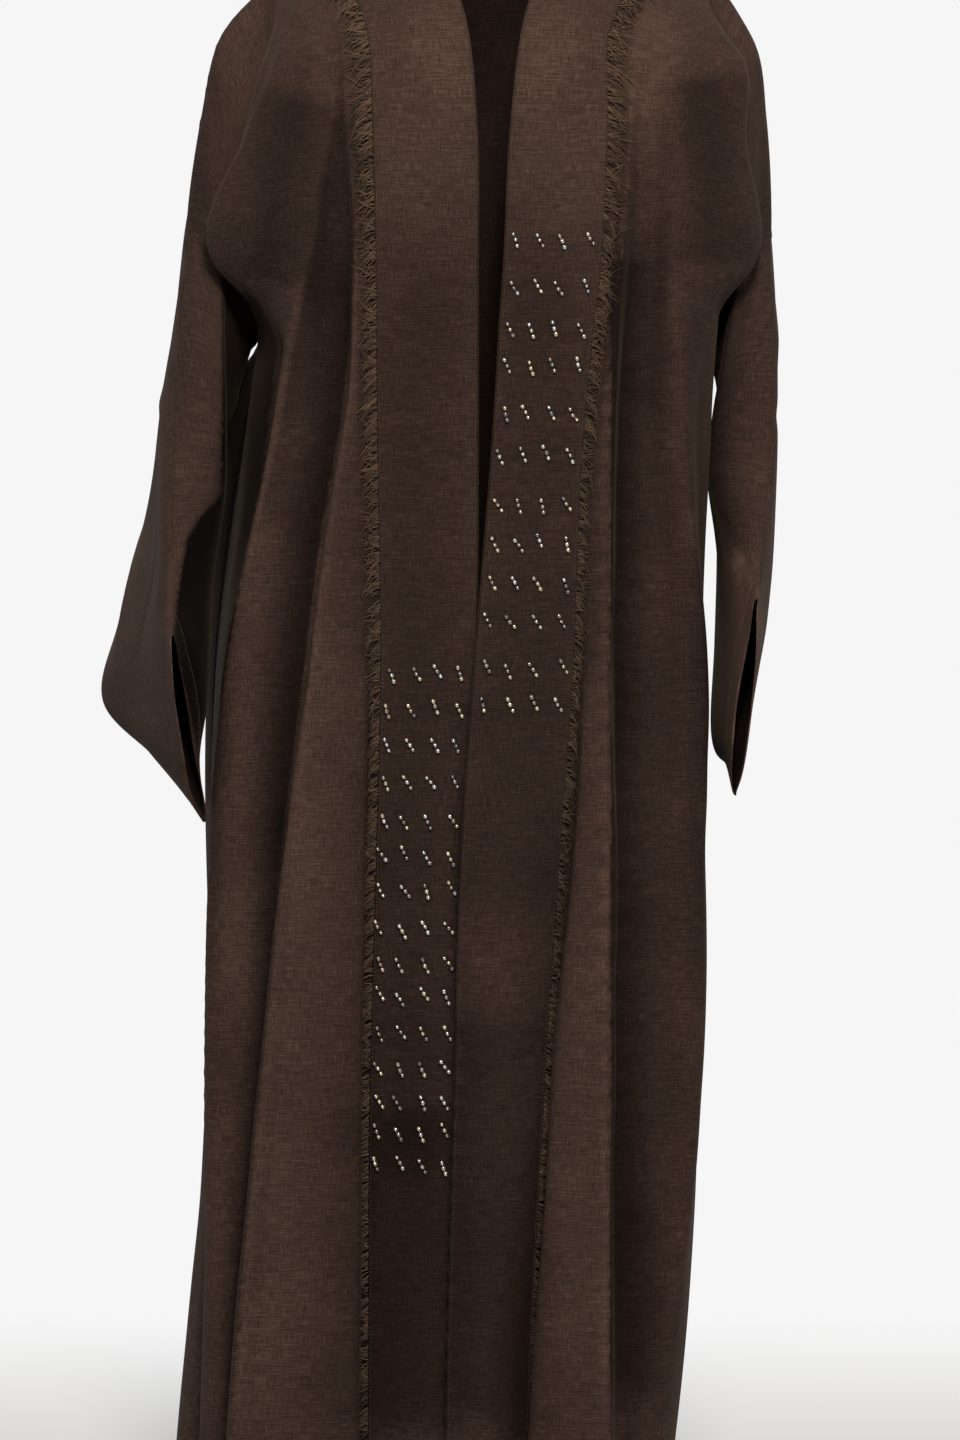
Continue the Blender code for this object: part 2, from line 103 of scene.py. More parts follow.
# Each row of these tables is a level section through the cloth, at a drop in millimetres
# below the shoulder line. Each column is a line that runs down the cloth, with its
# sideways place and its depth as x/y in millimetres.
# The numbers in STEPS are mesh steps between a line and the next, or from the band's last
# line on to each line of the folds.
BAND_COLUMNS = ("edge", "crown", "stitch", "floor", "step")
BAND_STEPS = (2, 2, 1, 1)
FOLD_COLUMNS = ("broad", "inner", "under", "middle", "outer", "tuck", "pouch", "curl", "seam")
FOLD_STEPS = (2,) * (len(FOLD_COLUMNS) - 1) + (1,)
FRONT_STEPS = BAND_STEPS + FOLD_STEPS

# Mesh point at which the band is stitched down, counted from the front edge
STITCH_POINT = sum(BAND_STEPS[:BAND_COLUMNS.index("stitch")])

LEFT_BAND = """
0    -62/12   -106/12  -150/12   -154/12   -158/12
40   -42/-50  -86/-53  -130/-52  -135/-52  -140/-52
100  -24/-103 -68/-107 -111/-106 -118/-107 -124/-107
200  -13/-130 -58/-132 -104/-131 -111/-131 -117/-131
315  -12/-136 -56/-138 -101/-137 -107/-137 -111/-138
345  -12/-137 -56/-139 -100/-138 -106/-138 -111/-139
370  -12/-137 -56/-139 -100/-138 -106/-138 -111/-139
410  -12/-137 -56/-139 -100/-138 -106/-138 -111/-139
500  -12/-136 -55/-138 -99/-137  -105/-137 -111/-138
650  -12/-134 -54/-136 -97/-134  -104/-134 -110/-137
850  -15/-126 -58/-128 -102/-123 -111/-124 -110/-138
1050 -18/-122 -62/-124 -107/-118 -118/-119 -112/-144
1220 -20/-124 -64/-126 -108/-118 -119/-119 -113/-149
1400 -21/-126 -65/-128 -109/-120 -120/-121 -114/-154
"""

LEFT_FOLDS = """
0    -162/12   -166/12   -170/12   -174/12   -179/12   -184/12   -189/12  -193/12  -197/12
40   -145/-51  -150/-50  -155/-48  -160/-46  -166/-43  -175/-38  -184/-30 -191/-22 -197/-12
100  -129/-107 -134/-107 -139/-105 -145/-103 -152/-100 -172/-87  -197/-62 -203/-44 -198/-30
200  -121/-132 -126/-132 -131/-127 -137/-125 -146/-127 -182/-108 -219/-70 -218/-52 -203/-34
315  -114/-139 -118/-140 -125/-124 -141/-120 -163/-128 -198/-108 -238/-62 -234/-42 -212/-20
345  -115/-140 -119/-141 -126/-124 -143/-119 -169/-129 -187/-108 -204/-80 -213/-45 -213/-5
370  -115/-141 -120/-142 -126/-124 -144/-119 -173/-129 -181/-112 -190/-92 -204/-45 -211/10
410  -116/-142 -121/-143 -127/-123 -146/-118 -180/-127 -181/-104 -185/-80 -204/-40 -217/14
500  -122/-143 -134/-143 -136/-118 -160/-113 -199/-120 -197/-94  -201/-66 -216/-30 -232/16
650  -132/-144 -154/-145 -152/-114 -186/-106 -231/-100 -231/-78  -236/-52 -244/-18 -250/18
850  -145/-147 -181/-146 -176/-113 -212/-104 -249/-85  -251/-60  -254/-35 -255/-8  -254/20
1050 -157/-153 -202/-150 -196/-114 -228/-106 -252/-86  -254/-62  -256/-36 -257/-8  -256/22
1220 -165/-159 -217/-155 -210/-116 -238/-108 -254/-88  -251/-62  -262/-40 -268/-8  -266/24
1400 -172/-165 -230/-160 -222/-118 -247/-110 -258/-92  -255/-64  -276/-46 -287/-10 -284/26
"""

RIGHT_BAND = """
0    62/12    106/12  150/12   154/12   157/12
40   45/-50   87/-53  128/-52  134/-52  140/-52
100  28/-104  66/-108 104/-107 111/-108 118/-108
200  15/-130  58/-132 100/-131 107/-132 112/-132
315  9/-138   52/-140 94/-138  100/-138 104/-139
345  7/-139   49/-141 91/-139  97/-139  101/-140
370  5/-140   47/-142 88/-139  94/-139  99/-140
410  3/-140   44/-142 84/-139  90/-139  96/-140
500  -3/-140  37/-142 76/-138  82/-138  88/-139
650  -15/-141 28/-144 70/-136  76/-135  81/-138
850  -29/-139 14/-146 57/-128  66/-127  66/-141
1050 -35/-136 5/-146  43/-122  54/-121  50/-144
1220 -39/-137 -2/-147 34/-120  46/-119  37/-147
1400 -41/-138 -6/-148 28/-121  40/-120  27/-151
"""

RIGHT_FOLDS = """
0    161/12   165/12   169/12   174/12   179/12   184/12   189/12  193/12  197/12
40   145/-51  150/-50  155/-49  161/-47  168/-44  176/-38  185/-29 192/-21 197/-11
100  124/-107 130/-106 137/-103 147/-99  160/-94  188/-80  219/-56 221/-40 205/-28
200  115/-132 119/-132 127/-125 142/-121 161/-122 195/-100 223/-66 222/-48 206/-32
315  107/-141 110/-142 119/-122 136/-118 158/-124 196/-104 229/-62 226/-42 205/-22
345  104/-142 107/-143 116/-122 135/-117 159/-125 186/-100 203/-66 205/-36 196/-8
370  102/-142 105/-144 114/-120 134/-115 160/-126 184/-98  200/-60 196/-28 186/10
410  100/-143 103/-145 112/-119 134/-113 163/-126 182/-98  196/-60 192/-26 184/12
500  95/-143  102/-146 110/-117 135/-110 170/-123 180/-96  189/-58 188/-22 183/14
650  92/-145  102/-148 108/-115 140/-107 182/-108 183/-84  184/-50 185/-18 182/16
850  84/-149  102/-151 107/-114 145/-106 184/-96  188/-68  187/-40 188/-10 186/20
1050 76/-153  102/-155 107/-115 142/-107 178/-96  183/-68  182/-40 183/-10 181/22
1220 70/-157  102/-159 107/-116 138/-108 164/-96  171/-68  172/-40 174/-10 173/24
1400 65/-162  102/-164 107/-118 130/-108 141/-94  150/-68  156/-42 160/-10 160/26
"""

BACK_COLUMNS = ("seam_left", "side_left", "fold_1", "dip_1", "fold_2", "dip_2", "fold_3",
                "dip_3", "fold_4", "dip_4", "fold_5", "side_right", "seam_right")
BACK_STEPS = (2,) * (len(BACK_COLUMNS) - 1)
NECK_COLUMNS = (BACK_COLUMNS.index("fold_2"), BACK_COLUMNS.index("fold_4"))
NECK_ROWS = 4

BACK = """
0    -197/12 -172/12  -134/12  -97/12   -62/12   -36/48  0/58    36/48  62/12  97/12   134/12  172/12 197/12
40   -198/34 -176/50  -140/62  -106/70  -74/74   -38/78  0/82    38/78  74/74  106/70  140/62  176/50 198/34
100  -190/48 -172/76  -140/92  -110/99  -78/103  -40/105 0/106   40/105 78/103 110/99  140/92  174/76 193/48
200  -192/62 -176/92  -146/110 -114/115 -80/119  -42/117 -2/118  40/117 78/119 110/116 144/110 178/92 196/62
315  -205/48 -192/86  -156/112 -120/113 -84/123  -44/116 -4/121  38/116 78/123 112/114 146/112 186/86 199/48
345  -211/30 -198/78  -158/112 -121/112 -85/123  -45/115 -5/120  38/115 78/123 112/113 146/111 184/78 193/30
370  -211/10 -206/66  -160/110 -122/110 -86/123  -46/113 -5/120  38/113 78/123 112/111 146/110 180/66 186/10
410  -217/14 -226/62  -162/109 -123/108 -87/122  -46/111 -6/119  37/111 77/122 111/109 145/108 178/66 184/12
500  -232/16 -252/62  -168/109 -126/104 -90/122  -48/107 -8/119  35/107 76/122 110/105 144/107 176/68 183/14
650  -250/18 -260/72  -182/118 -134/106 -98/130  -54/109 -14/127 31/109 74/130 109/107 145/114 177/72 182/16
850  -254/20 -257/84  -192/130 -140/111 -108/141 -62/114 -22/138 24/114 68/141 106/112 144/124 179/80 186/20
1050 -256/22 -254/92  -200/142 -146/117 -116/152 -70/119 -30/148 18/119 62/152 102/117 142/134 176/86 181/22
1220 -266/24 -266/98  -212/150 -154/121 -126/161 -80/123 -42/157 8/123  50/161 92/121  132/142 167/92 173/24
1400 -284/26 -286/106 -232/160 -168/126 -142/170 -94/128 -58/166 -6/128 36/170 78/126  118/150 154/98 160/26
"""

# Each row is a ring round the arm, from the armhole to the cuff. Each column is a line
# that runs along the sleeve, as x/y/z in millimetres: the pressed crease over the arm,
# the front ridge, the side next to the body, the underarm line, the back and the outer side.
RING_STEPS = 4

LEFT_SLEEVE = """
-244/10/-92    -222/-24/-150  -224/-28/-245  -219/12/-379   -222/70/-280   -236/68/-150
-262/10/-165   -236/-24/-205  -231/-28/-290  -223/20/-393   -240/76/-313   -259/66/-215
-273/4/-245    -242/-30/-275  -237/-27/-340  -229/30/-412   -260/78/-352   -280/52/-285
-279/-16/-340  -240/-46/-365  -241/-18/-398  -244/46/-448   -282/72/-412   -291/25/-368
-281/-46/-427  -239/-58/-440  -244/-16/-465  -288/64/-505   -306/62/-478   -303/14/-445
-281/-72/-505  -241/-66/-507  -247/-28/-545  -318/66/-560   -322/46/-540   -305/-6/-520
-279/-98/-566  -259/-86/-566  -250/-45/-610  -337/58/-630   -337/30/-612   -307/-30/-585
-277/-112/-600 -262/-96/-612  -251/-58/-665  -351/44/-698   -347/16/-678   -308/-57/-635
-276/-122/-620 -263/-104/-642 -252/-78/-715  -282/-60/-752  -314/-40/-722  -298/-88/-670
-276/-131/-638 -268/-114/-668 -256/-104/-742 -250/-101/-799 -261/-126/-768 -271/-138/-703
"""

RIGHT_SLEEVE = """
237/10/-100   220/-26/-150  215/-28/-240 196/12/-379  212/70/-280   226/68/-150
246/10/-165   229/-27/-205  212/-24/-290 201/20/-393  224/76/-313   240/66/-215
249/4/-240    228/-31/-270  211/-18/-350 206/30/-411  232/78/-352   250/52/-280
250/-10/-335  214/-36/-354  203/-10/-406 210/46/-446  238/76/-405   255/28/-365
248/-34/-427  199/-38/-432  200/-8/-465  213/60/-510  236/72/-465   254/12/-440
243/-62/-495  194/-48/-492  203/0/-535   212/61/-590  232/58/-540   252/-4/-505
238/-88/-548  207/-74/-545  204/-6/-600  208/50/-665  228/40/-620   249/-24/-570
233/-107/-578 216/-90/-588  204/-30/-655 203/18/-734  222/4/-695    244/-54/-622
231/-118/-594 220/-99/-614  206/-60/-700 211/-36/-752 224/-56/-712  236/-90/-648
229/-130/-607 223/-110/-638 213/-94/-700 212/-97/-776 219/-120/-748 227/-136/-672
"""

# Creases. Each row has the points of a crease as line@drop, where line counts the
# lines of the piece's sections from 0 and drop is in millimetres, then its height
# (negative for a trough) and its half width in millimetres.
LEFT_CREASES = """
7.6@20 7.8@110 7.4@190 -3.0 12
9.2@15 9.3@90 9.6@200 9.8@300 2.5 12
10.2@20 10.4@110 10.8@220 11@300 2.0 14
10.7@60 10.9@150 11.3@240 -2.0 10
8.2@160 8.6@260 9.2@350 -2.0 9
5.3@420 5.4@700 5.5@1000 5.5@1400 -1.6 16
8.4@500 8.5@800 8.6@1100 2.0 10
9.5@700 9.6@1000 9.5@1380 -3.0 12
8.9@765 8.7@812 1.5 7
5.0@60 5.4@180 5.3@330 1.2 10
8.8@360 8.5@470 8.7@600 -2.0 8
1.4@330 1.5@520 1.3@760 -0.8 14
0.5@700 0.6@980 0.5@1300 0.7 12
"""

RIGHT_CREASES = """
5@50 7.5@120 8.3@190 2.5 12
8.9@60 9@200 9.1@310 2.0 10
9.9@60 10.4@190 10.7@280 -3.0 14
8.8@1070 8.1@1155 8.1@1290 -3.0 10
8.9@1155 8.7@1178 8.0@1300 2.0 8
7.6@60 8.0@230 8.3@400 -1.8 9
8.4@380 8.6@600 8.3@850 2.0 10
8.7@700 8.6@900 8.8@1060 -2.2 9
5.3@450 5.4@800 5.3@1300 -1.4 14
10.3@330 10.1@480 10.2@700 -1.5 10
1.4@250 1.5@420 1.4@600 -0.8 14
0.06@770 0.05@1000 0.05@1400 -4.5 8
0.5@800 0.55@1100 0.5@1380 1.2 10
"""

BACK_CREASES = """
0.7@372 0.9@430 1@510 12.0 24
2.2@30 2.4@160 2.8@300 -2.2 12
9.8@30 9.5@150 9.2@320 -2.0 13
4.6@60 4.8@200 4.5@420 2.0 10
7.4@70 7.2@210 7.6@430 2.2 10
1.3@120 1.5@260 2@400 -3.0 12
10.7@110 10.4@270 10@420 -2.6 12
5.4@500 5.6@800 5.4@1100 1.6 9
3.4@600 3.2@950 3.5@1300 2.0 9
8.5@560 8.7@900 8.4@1250 -1.8 9
1.4@700 1.6@1000 1.5@1380 -2.4 11
10.6@650 10.4@980 10.5@1350 2.2 11
6.3@90 6.1@260 6.4@450 -1.4 11
"""

# On a sleeve, line counts from the crease over the arm and the second number is the place
# along the sleeve, from 0 at the armhole to 10 at the cuff.
LEFT_SLEEVE_CREASES = """
0@0.6 0@3 0@5.5 0@8 1.3 2.2
5.5@2.2 5.8@3.4 0.3@4.3 -2.2 8
5.2@3.6 5.6@4.3 0.2@4.9 -2.0 7
5.0@4.6 5.5@5.0 5.9@5.3 1.8 7
0.3@3.0 0.6@4.0 0.9@4.8 -1.6 6
4.6@2.0 4.9@3.4 4.7@5.0 1.8 11
5.5@6.2 5.2@7.2 4.8@8.4 -1.6 9
3.4@5.2 3.8@6.4 4.2@7.6 1.8 9
2.4@4.2 2.6@5.4 2.8@6.6 -1.8 8
"""

RIGHT_SLEEVE_CREASES = """
0@0.6 0@3 0@5.5 0@8 1.2 2.2
5.4@2.0 5.7@3.2 0.2@4.2 -2.2 8
5.1@3.4 5.6@4.2 0.3@4.9 1.8 7
4.9@4.4 5.4@4.9 5.9@5.3 -2.0 7
0.3@2.8 0.6@3.8 0.8@4.7 -1.5 6
4.5@1.8 4.8@3.3 4.6@5.0 1.8 11
5.4@6.0 5.1@7.2 4.8@8.5 -1.6 9
3.4@5.0 3.8@6.2 4.2@7.6 1.7 9
2.4@4.0 2.6@5.2 2.8@6.5 -1.6 8
"""

# Deep shade in the folds, painted. Each row has points of a line as place across
# and down the photograph's view in 960ths of its width, then the side of the line that is
# in shade, how much light is lost at the line, and how far the shade reaches.
# A negative loss paints light instead: a painted highlight along a lit fold edge, on a shoulder or inside
# the right sleeve. Some lines paint shade where less light falls rather than in a fold, lower down the
# bands and on the chest.
LEFT_SHADES = """
354/230 351/324 345/380 337/440 330/480 316/560 311/606 306/640 297/720 287/800 277/900 left 0.70 36
290/780 278/900 268/1000 257/1114 244/1252 230/1440 left 0.50 16
238/284 256/303 270/326 276/350 271/400 261/480 247/540 236/600 226/660 216/740 left 0.86 44
356/230 352/324 347/380 339/440 332/480 318/560 313/606 308/640 299/720 289/800 279/900 right -0.55 9
279/880 269/1000 258/1114 245/1252 231/1440 right -0.45 10
318/600 300/760 290/900 285/1000 262/1250 250/1440 right -0.25 60
300/400 280/470 262/560 250/660 242/780 236/900 230/1010 both -0.34 22
228/1100 222/1250 210/1430 both -0.30 22
338/90 329/155 322/200 316/240 305/290 296/345 287/390 270/480 256/545 right 0.42 34
305/90 290/160 272/235 262/285 both 0.55 50
410/1100 408/1230 406/1440 both 0.55 70
420/190 420/420 415/700 410/1000 408/1200 both 0.42 75
214/820 212/900 210/980 both 0.25 12
"""

RIGHT_SHADES = """
617/250 613/275 611/337 611/560 611/800 611/1100 611/1300 611/1440 right 0.74 36
609/275 608/337 607/560 607/800 607/1100 607/1300 607/1440 left -0.50 9
590/700 590/1000 575/1200 570/1440 both -0.22 26
640/230 640/300 645/420 both 0.25 30
650/10 652/60 654/120 both -0.34 34
700/70 708/130 716/200 722/270 both 0.52 44
700/300 692/420 694/520 both 0.30 20
690/520 698/640 701/760 701/880 699/1010 both 0.35 14
480/1000 476/1200 472/1440 both 0.46 62
545/200 535/450 520/700 500/950 both 0.42 75
675/620 675/900 672/1150 both 0.22 30
640/1190 648/1300 640/1400 both 0.30 18
"""

LEFT_SLEEVE_SHADES = """
224/300 223/420 222/495 201/518 187/542 178/600 176/640 188/700 198/750 203/810 right 0.93 95
171/560 169/630 181/700 191/775 199/815 left -0.55 5
205/60 196/150 190/240 right 0.25 22
122/736 146/748 172/762 190/776 both 0.20 14
"""

RIGHT_SLEEVE_SHADES = """
748/286 728/294 721/321 718/345 712/400 706/470 right 0.50 26
706/474 716/502 726/524 736/542 749/564 758/590 right 0.35 22
758/60 766/150 771/260 left 0.25 14
738/545 739/610 733/680 728/750 both -2.60 17
"""

# Painted shade on the left side of the back, where it shows between the left sleeve and the front.
BACK_SHADES = """
252/340 244/420 236/500 230/593 222/657 213/740 210/810 both 0.90 46
"""

# Points read along a crease and along a shade line, how far they taper off at their ends,
# and how far a shade with one side spills over its line
CREASE_SAMPLES = 40
CREASE_INSET = 0.03
SHADE_SAMPLES = 60
SHADE_INSET = 0.02
SHADE_SPILL = 2.5

SECTIONS = {"left": (LEFT_BAND, LEFT_FOLDS), "right": (RIGHT_BAND, RIGHT_FOLDS)}
SLEEVES = {"left": LEFT_SLEEVE, "right": RIGHT_SLEEVE}
CREASES = {"front_left": LEFT_CREASES, "front_right": RIGHT_CREASES, "back": BACK_CREASES,
           "sleeve_left": LEFT_SLEEVE_CREASES, "sleeve_right": RIGHT_SLEEVE_CREASES}
SHADES = {"front_left": LEFT_SHADES, "front_right": RIGHT_SHADES, "back": BACK_SHADES,
          "band_left": LEFT_SHADES, "band_right": RIGHT_SHADES,
          "sleeve_left": LEFT_SLEEVE_SHADES, "sleeve_right": RIGHT_SLEEVE_SHADES}

# Rows of bead groups: drops of the rows in millimetres, and the places of the four groups
# across a band, from 0 at the front edge to 1 at the stitching. The left ones move over
# from the first list at the first row to the second list by BEADS_SETTLED.
BEAD_DROPS = {
    "left": (671, 702, 733, 765, 798, 827, 858, 891, 922, 950, 982, 1012, 1039, 1068, 1096),
    "right": (301, 339, 377, 409, 447, 484, 527, 561, 595, 627, 666, 697),
}
BEAD_PLACES = {
    "left": ((0.17, 0.40, 0.63, 0.87), (0.26, 0.475, 0.695, 0.90)),
    "right": ((0.125, 0.36, 0.585, 0.835), (0.125, 0.36, 0.585, 0.835)),
}
BEADS_SETTLED = 800
BEAD_RADIUS = 2.1 * MM
BEAD_LONG = 1.25
BEAD_PITCH = 5.2 * MM
BEAD_LEAN = 0.46
BEAD_SIZES = (0.85, 1.08)
BEAD_SHARES = (0.30, 0.26, 0.30, 0.14)
BEAD_SEAT = 0.55
BEAD_SEEDS = {"left": 21, "right": 22}

# Unevenness of the groups in drop, place and lean, and of the beads in pitch and tip
GROUP_SPREAD = (1.6, 0.012, 0.12)
BEAD_SPREAD = (0.06, 0.22)

# Length of the frayed threads past the band, at each drop, in millimetres
THREAD_LENGTHS = {
    "left": ((0, 20), (150, 20), (250, 16), (600, 14), (850, 10), (1400, 9)),
    "right": ((0, 20), (150, 20), (300, 15), (600, 11), (850, 9), (1400, 9)),
}
THREADS = 2300
THREAD_RADIUS = 0.34 * MM
THREAD_POINTS = 7
THREAD_SEEDS = {"left": 11, "right": 12}

# Middle and spread of the threads' slope and bend. Some threads are short. Threads close
# together lean together, in waves of these heights and lengths.
THREAD_SLOPE = (0.45, 0.30)
THREAD_BEND = (0.10, 0.45)
SHORT_SHARE = 0.14
SHORT_LENGTH = 0.55
CLUMPS = ((0.42, 3.1 * MM, 0), (0.22, 1.3 * MM, 1))

# Yarn patterns: streaks in a metre across and along the cloth, and their detail
WEFT = (80.0, 1250.0, 2.0)
WARP = (1250.0, 80.0, 2.0)
SLUBS = (26.0, 600.0, 1.0)
PATCHES = (9.0, 9.0, 3.0)

# Linen colours, as linear light
LINEN_MID = (0.0313, 0.0188, 0.0150, 1.0)
LINEN_LIGHT = (0.071, 0.045, 0.034, 1.0)
LINEN_DARK = (0.0136, 0.0083, 0.0072, 1.0)
THREAD_DARK = (0.014, 0.0075, 0.0045, 1.0)
THREAD_LIGHT = (0.125, 0.072, 0.040, 1.0)

# Photograph's view, and the studio
PHOTO_WIDE = 960
PHOTO_TALL = 1440
CAMERA_PLACE = (-0.0108, -3.0, -0.711)
CAMERA_LENS = 83.3
SENSOR = 36.0
FLOOR_DROP = 1.47
FLOOR_REACH = 40.0
FLOOR_GREY = (0.65, 0.65, 0.65, 1.0)
FLOOR_FADE = (0.1, 1.3)
BACKGROUND = (0.92, 0.92, 0.92, 1.0)
STUDIO_FRONT = 0.32
STUDIO_FADE = (-0.1, 0.75)

# Round soft lights: place, aim, width, power and colour
LIGHTS = {
    "key": ((0.15, -2.3, 0.75), (0.0, 0.0, -0.5), 0.5, 88.0, (1.0, 0.92, 0.82)),
    "back_fill": ((0.6, 3.0, 1.2), (0.0, 0.0, -0.6), 2.0, 30.0, (1.0, 0.98, 0.95)),
}

# Narrow warm light on the shoulders and chest
GLOW_PLACE = (0.15, -2.2, 0.9)
GLOW_TURN = (np.radians(76.5), 0.0, np.radians(4))
GLOW_CONE = np.radians(30)
GLOW_BLEND = 0.12
GLOW_SOFTNESS = 0.05
GLOW_POWER = 60.0
GLOW_COLOUR = (1.0, 0.86, 0.66)


def fine_drops():
    """Drops of the fine rows: each stretch between two section rows in equal steps."""
    drops = [SECTION_DROPS[0]]
    for a, b in zip(SECTION_DROPS[:-1], SECTION_DROPS[1:]):
        count = max(1, round((b - a) / ROW_SPACING))
        drops.extend(a + (b - a) * (j + 1) / count for j in range(count))
    return np.array(drops)


def spread(at, t, points):
    """Points given at the parameters t, read at the parameters in at."""
    return np.stack([np.interp(at, t, points[:, a]) for a in range(points.shape[1])], axis=-1)


def arc(points, axis):
    """Running length along one axis of a grid."""
    steps = np.linalg.norm(np.diff(points, axis=axis), axis=-1)
    start = np.zeros_like(np.take(steps, [0], axis=axis))
    return np.concatenate([start, np.cumsum(steps, axis=axis)], axis=axis)


def look_up(grid, row, column):
    """Values of a grid between its points."""
    r = np.clip(np.asarray(row, float), 0, grid.shape[0] - 1.001)
    c = np.clip(np.asarray(column, float), 0, grid.shape[1] - 1.001)
    i, j = r.astype(int), c.astype(int)
    f, g = (r - i)[..., None], (c - j)[..., None]
    top = grid[i, j] * (1 - g) + grid[i, j + 1] * g
    low = grid[i + 1, j] * (1 - g) + grid[i + 1, j + 1] * g
    return top * (1 - f) + low * f


def read_lines(text, mark, count):
    """The rows of a table of lines: the points of each, and the last few cells."""
    for row in text.strip().splitlines():
        cells = row.split()
        yield (np.array([[float(v) for v in cell.split(mark)] for cell in cells[:-count]]),
               cells[-count:])


def end_taper(share, inset):
    """Near 0 at the ends of a line and 1 at its middle."""
    return np.sin(np.pi * (share * (1 - 2 * inset) + inset))


def crease_heights(grid, normals, creases, row_of, column_of, around=None):
    """How far each point of a grid moves out for a table of creases."""
    total = np.zeros(grid.shape[:2])
    at = np.linspace(0, 1, CREASE_SAMPLES)
    for path, (height, width) in read_lines(creases, "@", 2):
        height, width = float(height) * MM, float(width) * MM
        if around is not None:
            path[:, 0] = np.unwrap(path[:, 0], period=around)
        places = spread(at, np.linspace(0, 1, len(path)), path)
        column, row = column_of(places[:, 0]), row_of(places[:, 1])
        if around is not None:
            column = column % (grid.shape[1] - 1)
        points = look_up(grid, row, column)
        ways = look_up(normals, row, column)
        low = points.min(axis=0) - 4 * width
        high = points.max(axis=0) + 4 * width
        near = np.all((grid > low) & (grid < high), axis=-1)
        gap = np.linalg.norm(grid[near][:, None] - points[None], axis=-1)
        k = gap.argmin(axis=1)
        facing = np.einsum("ij,ij->i", normals[near], ways[k])
        taper = end_taper(at[k], CREASE_INSET) ** 0.7
        total[near] += (height * np.exp(-(gap.min(axis=1) / width) ** 2) * taper
                        * np.clip(facing * 1.4, 0, 1))
    return total


def waviness(u, v, seed):
    """Slight unevenness of hanging cloth, as a few long soft waves."""
    draw = np.random.default_rng(seed)
    total = np.zeros_like(u)
    for length in WAVE_LENGTHS:
        turn = draw.uniform(-0.5, 0.5)
        phase = draw.uniform(0, 2 * np.pi)
        along = u * np.cos(turn) + v * np.sin(turn) * 0.45
        total += length * WAVE_HEIGHT * np.sin(2 * np.pi * along / length + phase
                                               + 1.3 * np.sin(v / length * 0.9 + phase))
    return total


def view_places(points):
    """Where points lie in the photograph's view, across and down, in 960ths of its width."""
    scale = PHOTO_TALL * CAMERA_LENS / SENSOR / (points[..., 1] - CAMERA_PLACE[1])
    across = PHOTO_WIDE / 2 + (points[..., 0] - CAMERA_PLACE[0]) * scale
    down = PHOTO_TALL / 2 - (points[..., 2] - CAMERA_PLACE[2]) * scale
    return np.stack([across, down], axis=-1)


def fold_shade(points, normals, text):
    """Painted shade and light: the share of light left at each point past a table of shade lines."""
    places = view_places(points)
    light = np.ones(points.shape[:2])
    facing = np.clip(1.0 - normals[..., 1] * 3, 0, 1)
    at = np.linspace(0, 1, SHADE_SAMPLES)
    for path, (side, loss, reach) in read_lines(text, "/", 3):
        spots = spread(at, np.linspace(0, 1, len(path)), path)
        way = np.gradient(spots, axis=0)
        gap = places[:, :, None] - spots
        distance = np.linalg.norm(gap, axis=-1)
        k = distance.argmin(axis=-1)
        distance = distance.min(axis=-1)
        nearest = np.take_along_axis(gap, k[..., None, None], axis=2)[:, :, 0]
        on_right = way[k, 0] * nearest[..., 1] - way[k, 1] * nearest[..., 0] < 0
        width = np.full(distance.shape, float(reach))
        if side != "both":
            width[on_right != (side == "right")] = SHADE_SPILL
        taper = np.minimum(1.0, 3.5 * end_taper(at[k], SHADE_INSET))
        light *= 1 - float(loss) * np.exp(-(distance / width) ** 2) * taper * facing
    return light


def ramp(value, low, high):
    """0 below low, 1 above high, and smooth between them."""
    t = np.clip((value - low) / (high - low), 0, 1)
    return t * t * (3 - 2 * t)


def mesh_object(name, verts, faces, material, uvs=None, smooth=True):
    """A mesh object that rides on the body, from arrays of points and faces."""
    mesh = bpy.data.meshes.new(name)
    faces = np.asarray(faces)
    size = faces.shape[1]
    mesh.vertices.add(len(verts))
    mesh.vertices.foreach_set("co", np.asarray(verts, np.float32).ravel())
    mesh.loops.add(faces.size)
    mesh.loops.foreach_set("vertex_index", faces.ravel().astype(np.int32))
    mesh.polygons.add(len(faces))
    mesh.polygons.foreach_set("loop_start", np.arange(0, faces.size, size, dtype=np.int32))
    mesh.update(calc_edges=True)
    mesh.validate()
    if uvs is not None:
        layer = mesh.uv_layers.new(name="cloth")
        layer.data.foreach_set("uv", np.asarray(uvs, np.float32)[faces.ravel()].ravel())
    if smooth:
        mesh.shade_smooth()
    piece = bpy.data.objects.new(name, mesh)
    piece.data.materials.append(material)
    bpy.context.scene.collection.objects.link(piece)
    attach(piece, BODY)
    return piece


def grid_faces(rows, columns, flip):
    """Quads of a grid of points, row by row."""
    first = (np.arange(rows - 1)[:, None] * columns + np.arange(columns - 1)).ravel()
    faces = np.stack([first, first + 1, first + columns + 1, first + columns], axis=1)
    return faces[:, ::-1] if flip else faces


def store(piece, name, values):
    """Stores a number at each point of a piece, for its material to read."""
    layer = piece.data.attributes.new(name, "FLOAT", "POINT")
    layer.data.foreach_set("value", np.asarray(values, np.float32).ravel())


